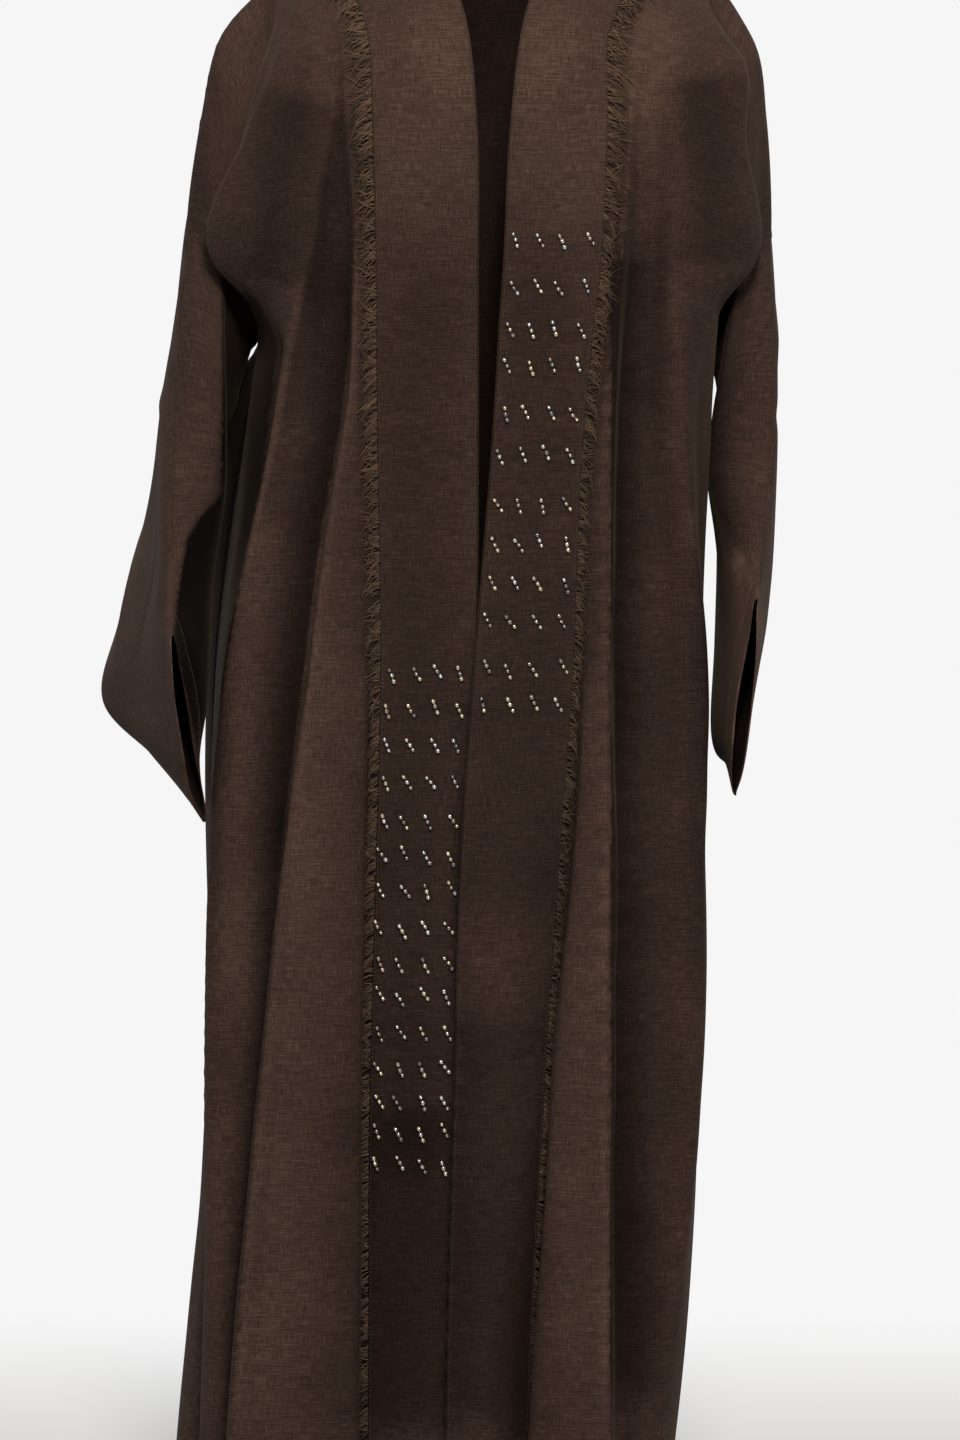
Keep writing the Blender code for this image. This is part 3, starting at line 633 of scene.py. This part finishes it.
def cloth_shell(name, sheet, u, thickness=CLOTH):
    """A thin wall of cloth on a sheet, thickened towards the hollow, for its solids."""
    rows, columns = sheet.points.shape[:2]
    piece = mesh_object(name + "_cloth", sheet.points.reshape(-1, 3),
                        grid_faces(rows, columns, sheet.flip), LINEN,
                        np.stack([u, -sheet.v], axis=-1).reshape(-1, 2))
    normals = grid_normals(sheet.points, sheet.flip)
    # Painted shade and painted light of the folds, stored at the points for the linen's colour
    store(piece, "fold_shade", fold_shade(sheet.points, normals, SHADES[name]))
    wall = piece.modifiers.new("cloth", "SOLIDIFY")
    wall.thickness = thickness
    wall.offset = -1.0
    # The inner side takes a copy of the linen with deeper painted shade
    piece.data.materials.append(LINEN_INSIDE_SHADED)
    wall.material_offset = 1
    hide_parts(*PARTED.get(name, (name,)))
    return piece


def read_table(text):
    """The rows of a table as numbers: the pairs or triples of each row, and its first column."""
    drops = []
    rows = []
    for line in text.strip().splitlines():
        cells = line.split()
        if "/" not in cells[0]:
            drops.append(float(cells.pop(0)) * MM)
        rows.append([[float(v) * MM for v in cell.split("/")] for cell in cells])
    return np.array(drops), np.array(rows)


def tangents(t, p):
    """Slopes of a smooth curve through the points p at the parameters t."""
    h = np.diff(t)[:, None]
    d = np.diff(p, axis=0) / h
    m = np.empty_like(p)
    m[0] = d[0]
    m[-1] = d[-1]
    m[1:-1] = (d[:-1] * h[1:] + d[1:] * h[:-1]) / (h[:-1] + h[1:])
    return m


def hermite(t, p, m, at):
    """Points of the curve with slopes m at the parameters in at."""
    i = np.clip(np.searchsorted(t, at, side="right") - 1, 0, len(t) - 2)
    h = (t[i + 1] - t[i])[:, None]
    u = ((at - t[i]) / (t[i + 1] - t[i]))[:, None]
    return ((2 * u ** 3 - 3 * u ** 2 + 1) * p[i] + (u ** 3 - 2 * u ** 2 + u) * h * m[i]
            + (3 * u ** 2 - 2 * u ** 3) * p[i + 1] + (u ** 3 - u ** 2) * h * m[i + 1])


def through(points, steps, before=None, after=None):
    """A smooth curve through points, with a number of steps for each stretch.

    The points before and after only steer how the curve leaves its ends.
    """
    p = [np.asarray(q, float) for q in points]
    first = 0
    if before is not None:
        p.insert(0, np.asarray(before, float))
        first = 1
    if after is not None:
        p.append(np.asarray(after, float))
    p = np.array(p)
    gaps = np.sqrt(np.linalg.norm(np.diff(p, axis=0), axis=1))
    t = np.concatenate([[0.0], np.cumsum(gaps)])
    at = [t[first]]
    for k, count in enumerate(steps):
        a = t[first + k]
        b = t[first + k + 1]
        at.extend(a + (b - a) * (j + 1) / count for j in range(count))
    return hermite(t, p, tangents(t, p), np.array(at))


def shoulder_height(x, has_nape):
    """Height of the shoulder line at x, which falls away from the neck."""
    height = -SHOULDER_SLOPE * np.maximum(0.0, np.abs(x) - NECK_HALF)
    if has_nape:
        height -= NAPE_DROP * (1 - np.minimum(1.0, np.abs(x) / NECK_HALF) ** 2)
    return height


def guide_lines(tables, at, has_nape=False):
    """The lines of section tables, each with a point at every drop in at."""
    drops = read_table(tables[0])[0]
    rows = np.hstack([read_table(table)[1] for table in tables])
    fade = np.maximum(0.0, 1 - drops / SHOULDER_FADE)[:, None]
    height = shoulder_height(rows[:, :, 0], has_nape) * fade - drops[:, None]
    points = np.dstack([rows, height])
    over = 2 * points[0] - points[1]
    over[:, 2] = points[1][:, 2]
    t = np.concatenate([[-drops[1]], drops])
    lines = []
    for k in range(points.shape[1]):
        p = np.vstack([over[k], points[:, k]])
        lines.append(hermite(t, p, tangents(t, p), at))
    return np.stack(lines, axis=1)


def panel_grid(lines, steps, before, after, corners=(), corner_rows=0):
    """Rows of points across a panel, through its lines.

    The first corner_rows rows turn sharply where they cross the lines in corners.
    """
    rows = []
    last = len(steps)
    for k, line in enumerate(lines):
        ends = (0, *corners, last) if k < corner_rows else (0, last)
        row = []
        for a, b in zip(ends[:-1], ends[1:]):
            lead = before[k] if before is not None and a == 0 else None
            trail = after[k] if b == last else None
            piece = through(line[a:b + 1], steps[a:b], lead, trail)
            row.extend(piece if a == 0 else piece[1:])
        rows.append(row)
    return np.array(rows)


def grid_normals(grid, flip):
    """Outward directions at the points of a grid."""
    across = np.gradient(grid, axis=1)
    down = np.gradient(grid, axis=0)
    n = np.cross(across, down)
    n /= np.linalg.norm(n, axis=-1, keepdims=True)
    return -n if flip else n


def sleeve_rings(text, steps):
    """The rings of a sleeve, each as points round the arm from the crease."""
    rings = read_table(text)[1]
    rounds = []
    for ring in rings:
        looped = np.vstack([ring, ring[:1]])
        rounds.append(through(looped, (steps,) * len(ring), ring[-1], ring[1])[:-1])
    return np.array(rounds)


def set_up(tree, node, **settings):
    """Sets the properties and inputs of a shader node, and links inputs given as sockets."""
    for name, setting in settings.items():
        if hasattr(node, name):
            setattr(node, name, setting)
        elif isinstance(setting, bpy.types.NodeSocket):
            tree.links.new(setting, node.inputs[name.replace("_", " ")])
        else:
            node.inputs[name.replace("_", " ")].default_value = setting
    return node


def add_node(tree, kind, **settings):
    """A new shader node, set up."""
    return set_up(tree, tree.nodes.new("ShaderNode" + kind), **settings)


def math_node(tree, operation, a, b):
    """A sum or product of two sockets, or of a socket and a number."""
    node = add_node(tree, "Math", operation=operation)
    tree.links.new(a, node.inputs[0])
    if isinstance(b, float):
        node.inputs[1].default_value = b
    else:
        tree.links.new(b, node.inputs[1])
    return node.outputs[0]


def blend(tree, *terms):
    """The sum of some sockets, each times its weight."""
    total, *others = [math_node(tree, "MULTIPLY", source, weight) for source, weight in terms]
    for term in others:
        total = math_node(tree, "ADD", total, term)
    return total


def colour_ramp(tree, place, first, last, *between):
    """A colour that changes with a socket's value. Each stop is a place and a colour."""
    node = add_node(tree, "ValToRGB", Fac=place)
    stops = node.color_ramp.elements
    stops[0].position, stops[0].color = first
    stops[1].position, stops[1].color = last
    for position, colour in between:
        stops.new(position).color = colour
    return node.outputs["Color"]


def new_material(name, **settings):
    """A material with its shader's inputs set, and its nodes and shader."""
    material = bpy.data.materials.new(name)
    material.use_nodes = True
    tree = material.node_tree
    return material, tree, set_up(tree, tree.nodes["Principled BSDF"], **settings)


def slub_pattern(tree, across, along, detail):
    """Streaks of yarn: noise drawn out along one way of the cloth, from 0 to 1."""
    place = add_node(tree, "UVMap", uv_map="cloth")
    scaled = add_node(tree, "Mapping", Vector=place.outputs["UV"], Scale=(across, along, 1.0))
    noise = add_node(tree, "TexNoise", Vector=scaled.outputs["Vector"], Scale=1.0,
                     Detail=detail, Roughness=0.6)
    return noise.outputs["Fac"]


def linen_material(name, sheen, hollow_reach, hollow_shade):
    """Matt slub linen: crossed uneven yarns in colour and relief, with a soft sheen.

    Its colour carries painted shade in hollows, from ambient occlusion down to hollow_shade,
    and the painted shade and painted light of the folds.
    """
    material, tree, shader = new_material(name)
    weft, warp, slubs, patches = (slub_pattern(tree, *streaks) for streaks in
                                  (WEFT, WARP, SLUBS, PATCHES))
    yarn = blend(tree, (weft, 0.5), (warp, 0.5))
    colour = colour_ramp(tree, blend(tree, (yarn, 0.70), (slubs, 0.15), (patches, 0.15)),
                         (0.36, LINEN_DARK), (0.66, LINEN_LIGHT), (0.5, LINEN_MID))
    # Painted shade: ambient occlusion darkens the colour in hollows
    hollow = add_node(tree, "AmbientOcclusion", samples=6, Distance=hollow_reach)
    shaded = add_node(tree, "MapRange", From_Min=0.35, From_Max=0.95, To_Min=hollow_shade,
                      Value=hollow.outputs["AO"])
    painted = add_node(tree, "Attribute", attribute_name="fold_shade")
    light = math_node(tree, "MULTIPLY", shaded.outputs["Result"], painted.outputs["Fac"])
    colour_with_painted_light = add_node(tree, "VectorMath", operation="SCALE", Vector=colour, Scale=light)
    bump = add_node(tree, "Bump", Strength=0.55, Distance=0.0006,
                    Height=blend(tree, (yarn, 1.0), (slubs, 0.5)))
    set_up(tree, shader, Base_Color=colour_with_painted_light.outputs["Vector"], Normal=bump.outputs["Normal"],
           Roughness=0.88, Specular_IOR_Level=0.05, Sheen_Weight=sheen, Sheen_Roughness=0.45,
           Sheen_Tint=(0.85, 0.68, 0.52, 1.0))
    return material


def thread_material():
    """Loose linen threads, each in a tone of its own."""
    material, tree, shader = new_material("frayed_thread", Base_Color=THREAD_DARK,
                                          Roughness=0.9)
    tone = add_node(tree, "Attribute", attribute_name="tone")
    set_up(tree, shader, Base_Color=colour_ramp(tree, tone.outputs["Fac"], (0.0, THREAD_DARK),
                                                (1.0, THREAD_LIGHT)))
    return material


def bead_material(name, colour, roughness, metallic):
    """Cut crystal with a silvered back."""
    return new_material(name, Base_Color=colour, Roughness=roughness, Metallic=metallic,
                        IOR=1.6, Coat_Weight=0.6, Coat_Roughness=0.05)[0]


LINEN = linen_material("linen", 0.03, 0.12, 0.4)
# Inner side of the cloth: a copy of the linen with deeper painted shade, from a wider reach of its hollows,
# and no sheen.
LINEN_INSIDE_SHADED = linen_material("linen_inside", 0.0, 0.6, 0.25)
THREAD = thread_material()
SEWING = new_material("sewing_thread", Base_Color=(0.035, 0.022, 0.016, 1.0), Roughness=0.8)[0]
BEAD_LOOKS = (
    bead_material("bead_champagne", (0.50, 0.42, 0.31, 1.0), 0.24, 0.8),
    bead_material("bead_silver", (0.52, 0.51, 0.50, 1.0), 0.20, 0.85),
    bead_material("bead_taupe", (0.26, 0.21, 0.18, 1.0), 0.26, 0.75),
    bead_material("bead_smoke", (0.13, 0.12, 0.125, 1.0), 0.2, 0.6),
)


class Sheet:
    """The surface of one piece: its points, outward directions and running lengths."""

    def __init__(self, flat, points, flip, u, v):
        self.flat = flat
        self.points = points
        self.flip = flip
        self.normals = grid_normals(points, flip)
        self.u = u
        self.v = v

    def size(self):
        """Width and length of the cut, and its area, in metres."""
        a = self.flat[1:, :-1] - self.flat[:-1, :-1]
        b = self.flat[:-1, 1:] - self.flat[:-1, :-1]
        area = np.linalg.norm(np.cross(a, b), axis=-1).sum()
        return float(self.u[:, -1].max()), float(arc(self.flat, 0)[-1].max()), float(area)

    def above_hem(self, depth):
        """Distance of each point from the stitching of a hem that is depth wide."""
        run = arc(self.flat, 0)
        return run[-1:] - depth - run

    def pinch(self, *distances):
        """Draws the cloth in a little beside its stitching, as sewing does."""
        for distance in distances:
            drawn = PINCH_DEPTH * np.exp(-(distance / PINCH_WIDTH) ** 2)
            self.points = self.points - self.normals * drawn[..., None]


def creased_sheet(name, grid, flip, row_of, column_of, fade, around=None):
    """A sheet on a grid, with the creases of its table and a slight unevenness."""
    normals = grid_normals(grid, flip)
    u = arc(grid, 1)
    v = arc(grid, 0).mean(axis=1, keepdims=True) + 0 * u
    across = u
    if around is not None:
        across = 0.06 * np.sin(np.linspace(0, 2 * np.pi, grid.shape[1]))[None] + 0 * u
    out = (crease_heights(grid, normals, CREASES[name], row_of, column_of, around)
           + waviness(across, v, WAVE_SEEDS[name]))
    return Sheet(grid, grid + normals * (out * fade)[..., None], flip, u, v)


def declare(piece, sheet, extras):
    """Measures the cut, its surface laid out flat, and lists its extras; neither is used further."""
    width, length, area = sheet.size()
    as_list(extras)


DROPS = fine_drops()


def row_at(millimetres):
    """Fine row of a drop in millimetres."""
    return np.interp(np.asarray(millimetres, float) * MM, DROPS, np.arange(len(DROPS)))


def columns_at(steps):
    """A function from a section line's number to its fine column."""
    ends = np.concatenate([[0], np.cumsum(steps)]) * FINE
    return lambda line: np.interp(line, np.arange(len(ends)), ends)


def seam_fade(grid, both_sides=False):
    """0 on the shoulder and side seams of a panel, 1 away from them."""
    u = arc(grid, 1)
    fade = ramp(u[:, -1:] - u, 0, SEAM_FADE) * ramp(arc(grid, 0), 0, SEAM_FADE)
    return fade * ramp(u, 0, SEAM_FADE) if both_sides else fade


def join_sides(front, back, edge, rows):
    """Moves the side edges of a front and of the back to the line midway between them."""
    front[rows, -1] = back[rows, edge] = (front[rows, -1] + back[rows, edge]) / 2


def build_cloth():
    """The sheets and shells of the panels, sleeves and bands, by the names of their solids."""
    half = len(ARMHOLE_ROWS) - 1
    below = DROPS >= ARMHOLE_ROWS[-1] * MM - 1e-6
    stitch = STITCH_POINT * FINE
    back = guide_lines((BACK,), DROPS, has_nape=True)
    coarse_back = guide_lines((BACK,), SECTION_DROPS, has_nape=True)
    back_steer = []
    sheets = {}
    pieces = {}
    for side in SIDES:
        flip = side == "right"
        edge, inward = (-1, -2) if flip else (0, 1)
        lines = guide_lines(SECTIONS[side], DROPS)
        coarse = guide_lines(SECTIONS[side], SECTION_DROPS)
        join_sides(lines, back, edge, below)
        join_sides(coarse, coarse_back, edge, slice(half, None))
        ring = sleeve_rings(SLEEVES[side], RING_STEPS)[0]
        steer = np.vstack([ring[:half], coarse_back[half:, inward]])
        from_back = np.vstack([ring[[-k % len(ring) for k in range(half)]], coarse[half:, -2]])
        back_steer.append(spread(DROPS, SECTION_DROPS, from_back))

        name = "front_" + side
        grid = panel_grid(lines, np.array(FRONT_STEPS) * FINE, None,
                          spread(DROPS, SECTION_DROPS, steer))
        sheet = creased_sheet(name, grid, flip, row_at, columns_at(FRONT_STEPS),
                              seam_fade(grid))
        sheet.pinch(sheet.u[:, -1:] - sheet.u, sheet.v, sheet.above_hem(HEM))
        sheet.normals = grid_normals(sheet.points, flip)
        pieces[name] = cloth_shell(name, sheet, sheet.u - sheet.u[:, stitch:stitch + 1])
        sheets[name] = sheet

        name = "band_" + side
        u, v, normals = (part[:, :stitch + 1] for part in (sheet.u, sheet.v, sheet.normals))
        rim = sheet.points[:, :stitch + 1] + normals * (LIE_GAP + BAND_CLOTH)
        roll = ramp(u, 0, BAND_ROLL) * ramp(u[:, -1:] - u, 0, BAND_ROLL)
        rim -= normals * ((1 - roll) * BAND_ROLL_DEPTH)[..., None]
        sheets[name] = Sheet(rim, rim, flip, arc(rim, 1), v)
        pieces[name] = cloth_shell(name, sheets[name], u + BAND_YARN_SHIFT, BAND_CLOTH)

        name = "sleeve_" + side
        grid = fine_sleeve(coarse, coarse_back, lines, back, edge, inward, SLEEVES[side])
        run = arc(grid, 0)
        sheet = creased_sheet(name, grid, not flip,
                              lambda place: place / SLEEVE_PLACES * (len(grid) - 1),
                              lambda line: line * RING_STEPS * SLEEVE_FINE,
                              ramp(run, 0, SEAM_FADE), SLEEVE_LINES)
        sheet.points[:, -1] = sheet.points[:, 0]
        sheet.pinch(run, sheet.above_hem(CUFF_HEM))
        pieces[name] = cloth_shell(name, sheet, sheet.u)
        sheets[name] = sheet

    neck_rows = int(np.searchsorted(DROPS, ARMHOLE_ROWS[NECK_ROWS - 1] * MM + 1e-6))
    grid = panel_grid(back, np.array(BACK_STEPS) * FINE, *back_steer, NECK_COLUMNS, neck_rows)
    sheet = creased_sheet("back", grid, False, row_at, columns_at(BACK_STEPS),
                          seam_fade(grid, both_sides=True))
    sheet.pinch(sheet.u, sheet.u[:, -1:] - sheet.u, sheet.above_hem(HEM))
    sheet.normals = grid_normals(sheet.points, False)
    pieces["back"] = cloth_shell("back", sheet, sheet.u - sheet.u[:, -1:] / 2)
    sheets["back"] = sheet
    return sheets, pieces


def fine_sleeve(front, back, fine_front, fine_back, edge, inward, table):
    """Points of a sleeve, the first and last columns being the same line."""
    split = len(ARMHOLE_ROWS)
    half = split - 1
    rings = sleeve_rings(table, RING_STEPS * SLEEVE_FINE)
    coarse_ring = sleeve_rings(table, RING_STEPS)[0]
    armhole = np.vstack([front[:split, -1], back[1:half, edge][::-1]])
    inside = np.vstack([front[:split, -2], back[1:half, inward][::-1]])
    straight = np.abs(inside[:, :1]) > np.abs(armhole[:, :1])
    straight[half] = True
    inside = np.where(straight, 2 * armhole - coarse_ring, inside)
    count = len(coarse_ring)
    place = np.arange(count * SLEEVE_FINE) / SLEEVE_FINE
    wrapped = np.vstack([inside, inside[:1]])
    inside_fine = spread(place, np.arange(count + 1), wrapped)
    level = np.where(place <= half, place, 2 * half - place)
    drop = np.interp(level, np.arange(split), SECTION_DROPS[:split])
    rows = np.interp(drop, DROPS, np.arange(len(DROPS)))
    on_front = look_up(fine_front, rows, np.full(len(rows), fine_front.shape[1] - 1.0))
    last = 0.0 if edge == 0 else fine_back.shape[1] - 1.0
    on_back = look_up(fine_back, rows, np.full(len(rows), last))
    armhole_fine = np.where((place <= half)[:, None], on_front, on_back)
    stack = np.concatenate([[inside_fine], [armhole_fine], rings])
    t = np.concatenate([[-0.5], np.arange(len(rings) + 1)])
    at = np.linspace(0, len(rings), len(rings) * STATION_STEPS + 1)
    grid = np.stack([hermite(t, stack[:, k], tangents(t, stack[:, k]), at)
                     for k in range(stack.shape[1])], axis=1)
    return np.concatenate([grid, grid[:, :1]], axis=1)


def prisms(paths, radius, sides=3):
    """Thin tapering strands: points and faces for paths of equal length."""
    paths = np.asarray(paths)
    count, length = paths.shape[:2]
    way = np.gradient(paths, axis=1)
    way /= np.linalg.norm(way, axis=-1, keepdims=True) + 1e-12
    aside = np.cross(way, (0.0, -1.0, 0.02))
    aside /= np.linalg.norm(aside, axis=-1, keepdims=True) + 1e-12
    over = np.cross(way, aside)
    turn = np.arange(sides) / sides * 2 * np.pi
    taper = np.interp(np.linspace(0, 1, length), (0, 0.7, 1), (1, 0.85, 0.25))
    size = np.broadcast_to(np.asarray(radius, float).reshape(-1, 1), (count, length)) * taper
    rings = (paths[:, :, None] + size[..., None, None] * (
        aside[:, :, None] * np.cos(turn)[:, None] + over[:, :, None] * np.sin(turn)[:, None]))
    verts = rings.reshape(-1, 3)
    n, k, s = np.meshgrid(np.arange(count), np.arange(length - 1), np.arange(sides),
                          indexing="ij")
    base = (n * length + k) * sides
    nxt = (s + 1) % sides
    faces = np.stack([base + s, base + nxt, base + sides + nxt, base + sides + s], axis=-1)
    return verts, faces.reshape(-1, 4)


def build_fringe(side, sheet):
    """Frayed threads past the stitching of a band, lying on the panel."""
    draw = np.random.default_rng(THREAD_SEEDS[side])
    stitch = STITCH_POINT * FINE
    reach_step = 0.5 * MM
    reaches = np.arange(-4, 60) * reach_step
    past = sheet.u - sheet.u[:, stitch:stitch + 1]
    table = np.array([spread(reaches, out, row) for out, row in
                      zip(past, np.dstack([sheet.points, sheet.normals]))])
    lengths = np.array(THREAD_LENGTHS[side], float) * MM
    drop = np.sort(draw.uniform(0.004, DROPS[-1] - 0.002, THREADS))
    length = np.interp(drop, lengths[:, 0], lengths[:, 1])
    length = length * draw.uniform(0.6, 1.15, THREADS) * (1 + 0.14 * np.sin(drop / 0.0052))
    length *= np.where(draw.uniform(size=THREADS) < SHORT_SHARE, SHORT_LENGTH, 1.0)
    along = np.linspace(0, 1, THREAD_POINTS)
    clump = sum(height * np.sin(drop / wave + phase) for height, wave, phase in CLUMPS)
    slope = draw.normal(*THREAD_SLOPE, THREADS) + clump
    bend = draw.normal(*THREAD_BEND, THREADS)
    reach = -1.0 * MM + along * (length[:, None] + 1.0 * MM)
    fall = length[:, None] * (slope[:, None] * along + bend[:, None] * along ** 2)
    rows = np.interp(drop[:, None] + fall, DROPS, np.arange(len(DROPS)))
    found = look_up(table, rows, (reach - reaches[0]) / reach_step)
    start = draw.uniform(0.7, 2.2, THREADS)[:, None] * MM
    end = draw.gamma(1.6, 0.9, THREADS)[:, None] * MM + 0.5 * MM
    lift = start * (1 - along) + end * along + 0.9 * MM * np.sin(np.pi * along)
    paths = found[..., :3] + found[..., 3:] * lift[..., None]
    radius = THREAD_RADIUS * draw.uniform(0.7, 1.35, THREADS)
    verts, faces = prisms(paths, radius)
    piece = mesh_object("fringe_" + side + "_threads", verts, faces, THREAD)
    store(piece, "tone", np.repeat(draw.beta(1.3, 1.9, THREADS), len(verts) // THREADS))
    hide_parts("fringe_" + side)
    return piece


def unit_bead():
    """A small cut bead: eight sides, with a table and slopes above and below."""
    verts = []
    for height, radius in ((1.0, 0.42), (0.55, 0.86), (-0.1, 1.0), (-0.7, 0.7)):
        for k in range(8):
            turn = (k + 0.5 * (height < 0)) * np.pi / 4
            verts.append((radius * np.cos(turn), radius * np.sin(turn), height * 0.8))
    verts.append((0, 0, 0.84))
    verts.append((0, 0, -0.6))
    faces = []
    for ring in range(3):
        for k in range(8):
            a, b = ring * 8 + k, ring * 8 + (k + 1) % 8
            faces.append((a, a + 8, b + 8))
            faces.append((a, b + 8, b))
    for k in range(8):
        faces.append((32, k, (k + 1) % 8))
        faces.append((33, 24 + (k + 1) % 8, 24 + k))
    return np.array(verts), np.array(faces)


def build_beads(side, band):
    """Groups of three beads on a band, each group leaning the same way."""
    draw = np.random.default_rng(BEAD_SEEDS[side])
    verts, faces = unit_bead()
    beads = [[] for _ in BEAD_LOOKS]
    first, last = np.array(BEAD_PLACES[side])
    for drop in BEAD_DROPS[side]:
        settled = np.interp(drop, (BEAD_DROPS[side][0], BEADS_SETTLED), (0, 1))
        for place in first * (1 - settled) + last * settled:
            off = [draw.normal(0, width) for width in GROUP_SPREAD]
            row = row_at(drop + off[0])
            column = (place + off[1]) * STITCH_POINT * FINE
            lean = BEAD_LEAN + off[2]
            centre = look_up(band.points, row, column)
            out = look_up(band.normals, row, column)
            out = out / np.linalg.norm(out)
            right = np.cross((0, 0, 1.0), out)
            right = right / np.linalg.norm(right)
            up = np.cross(out, right)
            group_way = up * np.cos(lean) - right * np.sin(lean)
            for k in (1, 0, -1):
                spot = centre + group_way * k * BEAD_PITCH * draw.normal(1.0, BEAD_SPREAD[0])
                size = BEAD_RADIUS * draw.uniform(*BEAD_SIZES)
                tip = draw.normal(0, BEAD_SPREAD[1], 2)
                axis = out + right * tip[0] + up * tip[1]
                axis /= np.linalg.norm(axis)
                x = np.cross(group_way, axis)
                x /= np.linalg.norm(x)
                y = np.cross(axis, x)
                look = int(draw.choice(4, p=BEAD_SHARES))
                beads[look].append(spot + size * (
                    verts[:, :1] * x + verts[:, 1:2] * y * BEAD_LONG
                    + (verts[:, 2:3] + BEAD_SEAT) * axis))
    made = []
    for look, placed in zip(BEAD_LOOKS, beads):
        shifts = np.arange(len(placed))[:, None, None] * len(verts)
        made.append(mesh_object("beads_" + side + "_" + look.name.split("_")[1],
                                np.vstack(placed), (faces + shifts).reshape(-1, 3), look,
                                smooth=False))
    return made


def stitches(name, points, normals):
    """A row of small stitches along a line of points on the cloth."""
    run = arc(points, 0)
    starts = np.arange(STITCH_PITCH / 2, run[-1] - STITCH_LENGTH, STITCH_PITCH)
    spots = starts[:, None] + np.array([0.0, 0.2, 0.8, 1.0]) * STITCH_LENGTH
    rise = (np.array(STITCH_RISE) * MM)[:, None]
    paths = spread(spots, run, points) + spread(spots, run, normals) * rise
    verts, faces = prisms(paths, STITCH_RADIUS, 4)
    return mesh_object(name, verts, faces, SEWING)


def hem_line(sheet, depth, first):
    """Points and outward directions along the stitching of a hem, from a column on."""
    run = arc(sheet.points, 0)
    columns = np.arange(first, sheet.points.shape[1])
    rows = np.array([np.interp(run[-1, c] - depth, run[:, c], np.arange(len(run)))
                     for c in columns])
    return look_up(sheet.points, rows, columns), look_up(sheet.normals, rows, columns)


sheets, pieces = build_cloth()
extras = {name: [] for name in pieces}
for side in SIDES:
    name = "band_" + side
    band = sheets[name]
    extras[name].append(build_fringe(side, sheets["front_" + side]))
    extras[name].extend(build_beads(side, band))
    rows = np.arange(len(DROPS), dtype=float)
    for row, places in (("edge", np.full(len(DROPS), STITCH_FROM_EDGE)),
                        ("outer", band.u[:, -1] - STITCH_FROM_OUTER)):
        columns = np.array([np.interp(place, run, np.arange(len(run)))
                            for place, run in zip(places, band.u)])
        extras[name].append(stitches("stitching_" + name + "_" + row,
                                     look_up(band.points, rows, columns),
                                     look_up(band.normals, rows, columns)))
for name, piece in pieces.items():
    kind = name.split("_")[0]
    line, ways = hem_line(sheets[name], CUFF_HEM if kind == "sleeve" else HEM,
                          STITCH_POINT * FINE + 2 if kind == "front" else 0)
    extras[name].append(stitches("stitching_hem_" + name, line, ways))
for name, piece in pieces.items():
    declare(piece, sheets[name], extras[name])


def fade_along_y(tree, space, places, least=0.0):
    """A smooth rise from least to 1 between two places along Y."""
    place = add_node(tree, "TexCoord")
    parts = add_node(tree, "SeparateXYZ", Vector=place.outputs[space])
    return add_node(tree, "MapRange", interpolation_type="SMOOTHSTEP", From_Min=places[0],
                    From_Max=places[1], To_Min=least, Value=parts.outputs["Y"]
                    ).outputs["Result"]


def put(name, data, place, turn=(0.0, 0.0, 0.0)):
    """An object of the studio, in its place."""
    made = bpy.data.objects.new(name, data)
    made.location = place
    made.rotation_euler = turn
    bpy.context.scene.collection.objects.link(made)
    return made


def build_stage():
    """Pale floor and background, soft light from the front, and the photograph's camera."""
    bpy.context.scene.view_settings.view_transform = "Standard"
    world = bpy.data.worlds.new("studio")
    world.use_nodes = True
    sky = world.node_tree
    set_up(sky, sky.nodes["Background"], Color=BACKGROUND,
           Strength=fade_along_y(sky, "Generated", STUDIO_FADE, STUDIO_FRONT))
    bpy.context.scene.world = world

    material, tree, shader = new_material("floor", Base_Color=FLOOR_GREY, Roughness=0.9,
                                          Specular_IOR_Level=0.0)
    glow = add_node(tree, "Emission", Strength=1.0, Color=BACKGROUND)
    mix = add_node(tree, "MixShader", Fac=fade_along_y(tree, "Object", FLOOR_FADE))
    tree.links.new(shader.outputs["BSDF"], mix.inputs[1])
    tree.links.new(glow.outputs["Emission"], mix.inputs[2])
    tree.links.new(mix.outputs["Shader"], tree.nodes["Material Output"].inputs["Surface"])
    mesh = bpy.data.meshes.new("floor")
    r = FLOOR_REACH
    mesh.from_pydata([(-r, -r, 0), (r, -r, 0), (r, r, 0), (-r, r, 0)], [], [(0, 1, 2, 3)])
    mesh.materials.append(material)
    floor = put("floor", mesh, (0.0, 0.0, -FLOOR_DROP))

    glow = bpy.data.lights.new("upper_glow", "SPOT")
    glow.energy = GLOW_POWER
    glow.color = GLOW_COLOUR
    glow.spot_size = GLOW_CONE
    glow.spot_blend = GLOW_BLEND
    glow.shadow_soft_size = GLOW_SOFTNESS
    put("upper_glow", glow, GLOW_PLACE, GLOW_TURN)
    for name, (place, aim, width, power, colour) in LIGHTS.items():
        light = bpy.data.lights.new(name, "AREA")
        light.shape = "DISK"
        light.size = width
        light.energy = power
        light.color = colour
        way = Vector(aim) - Vector(place)
        put(name, light, place, way.to_track_quat("-Z", "Y").to_euler())

    camera = bpy.data.cameras.new("photograph_view")
    camera.lens = CAMERA_LENS
    camera.sensor_width = SENSOR
    bpy.context.scene.camera = put("photograph_view", camera, CAMERA_PLACE,
                                   (np.pi / 2, 0.0, 0.0))


build_stage()
